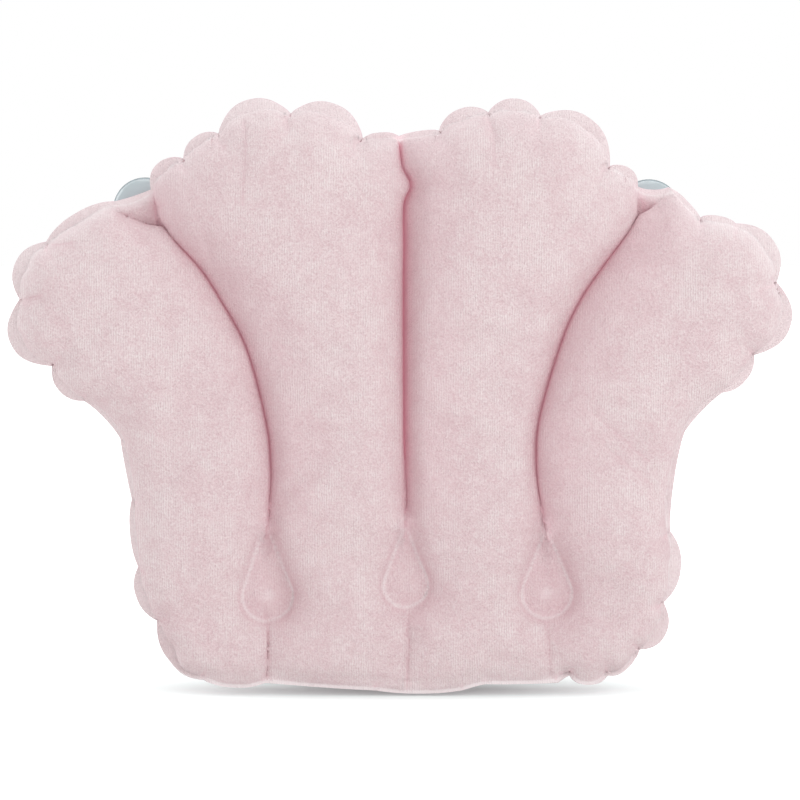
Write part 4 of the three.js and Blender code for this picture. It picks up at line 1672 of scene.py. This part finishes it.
@dataclass(frozen=True)
class TerryPile:
    """Brushed cotton terry: a dense loop pile, matt, with a pale nap and marks where it is brushed.

    The loops stand in columns. Where the nap is brushed flat the columns show less, so the pile is
    mottled. Loops and columns are drawn a little coarser than the real ones, so that they show. The
    panel's attributes add painted shade in its creases, pale pressed pile with painted light along
    its edges, and an emission that paints a glow where two lobes touch.

    Attributes:
        light: colour of the loops' tips.
        dark: colour between the loops.
        brushed: colour where the nap lies flat.
        painted_shade: colour of the painted shade in the creases, beside the seams and on the webs.
        painted_glow_tint: colour of the painted glow, an emission where two lobes touch and no lamp is.
        bead: pale colour of pile pressed flat along a weld; also painted light that lifts the edges,
        the flat hem and the foot, and a painted highlight on the teardrops' discs.
        sheen: colour of the fibres' ends at a grazing view.
        column_mm: width of a column of loops.
        loop_mm: size of a loop.
        patch_mm: size of the brushed patches.
        cloud_mm: size of the areas that are brushed more or less.
        relief_mm: height of the loops.
        cloud_share: how much the clouds count beside the patches.
        nap: range of their mix over which the nap goes from flat to standing.
        column_share: how much the columns show in standing nap.
        flat_share: how much of the brushed colour shows in flat nap.
        glow: strength of the painted glow between two lobes.
    """

    light: str = "F5EAEA"
    dark: str = "D6BBBF"
    brushed: str = "E0BAC1"
    painted_shade: str = "D8ACB5"
    painted_glow_tint: str = "D99FAD"
    bead: str = "FBF2F3"
    sheen: str = "FFE9EC"
    column_mm: float = 1.3
    loop_mm: float = 1.1
    patch_mm: float = 8.5
    cloud_mm: float = 30.0
    relief_mm: float = 0.5
    cloud_share: float = 0.4
    nap: tuple[float, float] = (0.4, 0.62)
    column_share: float = 0.4
    flat_share: float = 0.36
    glow: float = 0.23

    def build(self) -> bpy.types.Material:
        """Makes the material.

        Returns:
            The finished material.
        """
        material, tree = new_material("terry_pile")
        add = partial(add_node, tree)
        place = {"Vector": add("TexCoord").outputs["Object"]}
        patch = {"Scale": 1 / (self.patch_mm * MM), "Detail": 4.0, "Roughness": 0.66}
        patches = add("TexNoise", patch, place)
        clouds = add("TexNoise", {"Scale": 1 / (self.cloud_mm * MM), "Detail": 2.0}, place)
        uneven = add("Mix", {0: self.cloud_share}, {2: patches.outputs["Fac"], 3: clouds.outputs["Fac"]})
        nap = {"From Min": self.nap[0], "From Max": self.nap[1]}
        brushed = add("MapRange", nap, {"Value": uneven.outputs[0]}).outputs["Result"]
        pitch = math.pi / (10 * self.column_mm * MM)
        weave = {"Scale": pitch, "Distortion": 3.4, "Detail": 2.0, "Detail Scale": 0.8}
        columns = add("TexWave", weave, place)
        loops = add("TexNoise", {"Scale": 1 / (self.loop_mm * MM), "Detail": 2.0, "Roughness": 0.75}, place)
        sharp_loops = add("MapRange", {"From Min": 0.3, "From Max": 0.7}, {"Value": loops.outputs["Fac"]})
        column_share = add("MapRange", {"To Max": self.column_share}, {"Value": brushed})
        mixed = {0: column_share.outputs[0], 2: sharp_loops.outputs[0], 3: columns.outputs["Fac"]}
        pile = add("Mix", links=mixed).outputs[0]
        flat = add("MapRange", {"To Min": self.flat_share, "To Max": 0.0}, {"Value": brushed})
        # crease mixes in painted shade, glow drives the painted glow, and bead mixes in pale pressed pile
        # with painted light and a painted highlight
        crease, touch, bead = (
            add("Attribute", {"attribute_name": title}).outputs["Fac"]
            for title in ("crease", "glow", "bead")
        )
        loose = {"data_type": "RGBA", 6: linear(self.dark), 7: linear(self.light)}
        colour = add("Mix", loose, {0: pile})
        for tint, share in ((self.brushed, flat.outputs[0]), (self.painted_shade, crease), (self.bead, bead)):
            colour = add("Mix", {"data_type": "RGBA", 7: linear(tint)}, {0: share, 6: colour.outputs[2]})
        # The painted glow: an emission where two lobes touch, though no lamp is there
        glow = add("Math", {"operation": "MULTIPLY", 1: self.glow}, {0: touch})
        bump = add("Bump", {"Strength": 0.8, "Distance": self.relief_mm * MM}, {"Height": pile})
        shader = add(
            "BsdfPrincipled",
            {
                "Roughness": 0.95,
                "Specular IOR Level": 0.12,
                "Sheen Weight": 0.05,
                "Sheen Roughness": 0.5,
                "Sheen Tint": linear(self.sheen),
                "Emission Color": linear(self.painted_glow_tint),
            },
            {
                "Base Color": colour.outputs[2],
                "Normal": bump.outputs["Normal"],
                "Emission Strength": glow.outputs[0],
            },
        )
        add("OutputMaterial", links={"Surface": shader.outputs["BSDF"]})
        return material


@dataclass(frozen=True)
class PlainPvc:
    """Soft PVC, calendered or moulded: satin, with a fine emboss.

    Attributes:
        name: the material's name.
        colour: its colour.
        roughness: of its surface.
        grain_mm: size of the emboss.
        relief_mm: depth of the emboss.
        clear: how much light passes through it.
        edge: a darker colour at a rim, painted shade for the dark line that a curved, thicker lip shows.
        weld_mm: pitch of the ribs that the welding tool leaves.
        rib_mm: height of these ribs.
        spread: how far the roughness goes up and down with the emboss.
        ior: its index of refraction.
    """

    name: str
    colour: str
    roughness: float
    grain_mm: float
    relief_mm: float
    clear: float = 0.0
    edge: str = ""
    weld_mm: float = 1.8
    rib_mm: float = 0.25
    spread: float = 0.06
    ior: float = 1.53

    def build(self) -> bpy.types.Material:
        """Makes the material.

        Returns:
            The finished material.
        """
        material, tree = new_material(self.name)
        add = partial(add_node, tree)
        place = {"Vector": add("TexCoord").outputs["Object"]}
        grain = add("TexNoise", {"Scale": 1 / (self.grain_mm * MM), "Detail": 3.0}, place).outputs["Fac"]
        satin = {"To Min": self.roughness - self.spread, "To Max": self.roughness + self.spread}
        finish = add("MapRange", satin, {"Value": grain})
        bump = add("Bump", {"Strength": 0.5, "Distance": self.relief_mm * MM}, {"Height": grain})
        pitch = math.pi / (10 * self.weld_mm * MM)
        ribs = add("TexWave", {"bands_direction": "DIAGONAL", "Scale": pitch}, place)
        weld, rim = (
            add("Attribute", {"attribute_name": title}).outputs["Fac"] for title in ("weld", "rim")
        )
        pressed = add("Math", {"operation": "MULTIPLY"}, {0: weld, 1: ribs.outputs["Fac"]})
        relief = {"Height": pressed.outputs[0], "Normal": bump.outputs["Normal"]}
        welded = add("Bump", {"Strength": 0.6, "Distance": self.rib_mm * MM}, relief)
        # A darker colour where the rim share is high: painted shade along a cup's lip
        tints = {"data_type": "RGBA", 6: linear(self.colour), 7: linear(self.edge or self.colour)}
        colour = add("Mix", tints, {0: rim})
        shader = add(
            "BsdfPrincipled",
            {"IOR": self.ior, "Transmission Weight": self.clear},
            {
                "Base Color": colour.outputs[2],
                "Roughness": finish.outputs["Result"],
                "Normal": welded.outputs["Normal"],
            },
        )
        add("OutputMaterial", links={"Surface": shader.outputs["BSDF"]})
        return material


@dataclass
class Studio:
    """Camera, lights and floor.

    Attributes:
        target: point that the camera looks at, in millimetres.
        distance: from the camera to it.
        elevation: of the camera above the horizon, in degrees.
        view_width: width of the picture at the target.
        room_light: strength of the light that the room gives.
        shadow_squeeze: by which the painted shadow, where the floor glows less round the pillow, is longer
        than wide, as a share.
        shadow_back: how far behind the middle it lies, in metres.
        shadow_fade: from where to where it fades, in metres.
    """

    target: tuple[float, float, float] = (-1.1, 0.0, 157.7)
    distance: float = 2400.0
    elevation: float = 5.0
    view_width: float = 432.0
    room_light: float = 0.77
    shadow_squeeze: float = 0.35
    shadow_back: float = 0.012
    shadow_fade: tuple[float, float] = (0.012, 0.085)

    def build(self) -> None:
        """Makes the whole studio."""
        self._camera()
        self._lights()
        self._floor()
        self._world()
        bpy.context.scene.view_settings.view_transform = "Standard"

    def _camera(self) -> None:
        """Sets the camera in front of the pillow."""
        lens = bpy.data.cameras.new("camera")
        lens.sensor_width = 36
        lens.lens = lens.sensor_width * self.distance / self.view_width
        lens.clip_end = 20
        camera = bpy.data.objects.new("camera", lens)
        rise = math.radians(self.elevation)
        away = Vector((0, -math.cos(rise), math.sin(rise))) * self.distance
        camera.location = (Vector(self.target) + away) * MM
        camera.rotation_euler = (math.pi / 2 - rise, 0, 0)
        bpy.context.collection.objects.link(camera)
        bpy.context.scene.camera = camera

    def _lights(self) -> None:
        """Hangs a key light on the right, one over the table, one at the top and two for the edges."""
        aim = Vector(self.target) * MM
        for name, place, size, power in (
            ("key", (1.35, -1.35, 1.1), 1.4, 8.5),
            ("table", (-0.1, -1.6, 0.08), 1.0, 4.6),
            ("top", (0.0, 0.45, 1.9), 1.2, 6.0),
            ("left_edge", (-1.5, 0.6, 0.75), 1.0, 5.0),
            ("right_edge", (1.5, 0.6, 0.75), 1.0, 3.5),
        ):
            lamp = bpy.data.lights.new(name, "AREA")
            lamp.size = size
            lamp.energy = power
            light = bpy.data.objects.new(name, lamp)
            light.location = place
            light.rotation_euler = (aim - Vector(place)).to_track_quat("-Z", "Y").to_euler()
            bpy.context.collection.objects.link(light)

    def _shown(self, tree: bpy.types.NodeTree) -> bpy.types.NodeSocket:
        """Finds the rays that see the studio itself, straight, in a gloss or through a cup.

        Args:
            tree: of the floor's or the room's material.

        Returns:
            A socket that is 1 for these rays.
        """
        rays = add_node(tree, "LightPath").outputs
        shown = rays["Is Camera Ray"]
        for kind in ("Is Glossy Ray", "Is Transmission Ray"):
            shown = add_node(tree, "Math", {"operation": "MAXIMUM"}, {0: shown, 1: rays[kind]}).outputs[0]
        return shown

    def _floor(self) -> None:
        """Lays a white floor that keeps the pillow's rendered shadow. The camera sees it greyer and a little
        cyan, against the pink light that the pillow throws on it, and glowing less in an ellipse round
        the pillow, so that a painted shadow darkens it there and fades out away from it.
        """
        bm = bmesh.new()
        bmesh.ops.create_grid(bm, x_segments=1, y_segments=1, size=4.0)
        mesh = bpy.data.meshes.new("floor")
        bm.to_mesh(mesh)
        bm.free()
        material, tree = new_material("studio_floor")
        add = partial(add_node, tree)
        white = add("BsdfDiffuse", {"Color": linear("F2F4F3")})
        shadow = add("BsdfDiffuse", {"Color": linear("C6CECD")})
        stretch, shift = (self.shadow_squeeze, 1.0, 1.0), (0.0, -self.shadow_back, 0.0)
        place = {0: add("TexCoord").outputs["Object"]}
        squeezed = add("VectorMath", {"operation": "MULTIPLY_ADD", 1: stretch, 2: shift}, place)
        away = add("VectorMath", {"operation": "LENGTH"}, {0: squeezed.outputs[0]})
        limits = {"From Min": self.shadow_fade[0], "From Max": self.shadow_fade[1]}
        fade = add("MapRange", limits, {"Value": away.outputs["Value"]})
        # The floor glows more the further it is from the pillow, so near it the darker floor is a painted
        # shadow on top of the rendered one
        glow = add("Emission", links={"Strength": fade.outputs["Result"]})
        lifted = add("AddShader", links={0: shadow.outputs[0], 1: glow.outputs[0]})
        mixed = {0: self._shown(tree), 1: white.outputs[0], 2: lifted.outputs[0]}
        surface = add("MixShader", links=mixed)
        add("OutputMaterial", links={"Surface": surface.outputs[0]})
        mesh.materials.append(material)
        floor = bpy.data.objects.new("floor", mesh)
        bpy.context.collection.objects.link(floor)

    def _world(self) -> None:
        """Fills the room with soft white light, in front of a white backdrop."""
        world = bpy.data.worlds.new("studio")
        world.use_nodes = True
        tree = world.node_tree
        tree.nodes.clear()
        add = partial(add_node, tree)
        light, backdrop = (
            add("Background", {"Color": (1, 1, 1, 1), "Strength": strength}).outputs[0]
            for strength in (self.room_light, 1.0)
        )
        mix = add("MixShader", links={0: self._shown(tree), 1: light, 2: backdrop})
        add("OutputWorld", links={"Surface": mix.outputs[0]})
        bpy.context.scene.world = world


def main() -> None:
    """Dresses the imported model."""
    logging.basicConfig(level=logging.INFO, format="%(name)s: %(message)s")
    noise.seed_set(WOBBLE_SEED)
    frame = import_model()
    film = PlainPvc("pvc_film", "E9D3D8", roughness=0.32, grain_mm=0.9, relief_mm=0.05).build()
    cup_pvc = PlainPvc(
        "cup_pvc", "CEDADE", roughness=0.2, grain_mm=3.0, relief_mm=0.02, clear=0.25, edge="9DACB2"
    ).build()
    valve_pvc = PlainPvc("valve_pvc", "EADDE0", roughness=0.4, grain_mm=0.7, relief_mm=0.03).build()
    flap = frame["nodes"]["valve_flap"].data
    flap.materials.clear()
    flap.materials.append(valve_pvc)
    for side in ("left", "right"):
        cup_low, cup_high = (Vector(corner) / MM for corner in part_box(f"suction_cup_{side}"))
        tab_low, tab_high = (Vector(corner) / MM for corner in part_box(f"cup_tab_{side}"))
        middle = (cup_low + cup_high) / 2
        plate, root = tab_high.y - CupSet.film / 2, tab_low.y + CupSet.bead
        CupSet(side, (middle.x, middle.z), cup_high.y, plate, root).build(cup_pvc, film)
    low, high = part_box("valve_flap")
    valve = np.array([(low[0] + high[0]) / 2 / MM, VALVE_HEIGHT])
    plan = PillowPlan(WEBS, (valve, VALVE_HOLE))
    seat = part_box("valve_plug")[1][1] / MM - STOPPER_RISE
    hem_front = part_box("terry_cover")[1][1] / MM - TERRY_WALL
    hem_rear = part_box("back_film")[0][1] / MM + FILM_WALL
    skins = PillowSkins(plan, hem_front, hem_rear, seat)
    terry = skins.build("terry_face", Side.FRONT, skins.terry_thickness)
    terry.data.materials.append(TerryPile().build())
    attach(terry, "pillow")
    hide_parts("terry_cover", "front_film")
    back = skins.build("back_panel", Side.REAR, skins.film_thickness)
    back.data.materials.append(film)
    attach(back, "pillow")
    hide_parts("back_film")
    AirValve(valve, seat).build(back, valve_pvc)
    Studio().build()


if __name__ == "__main__":
    main()
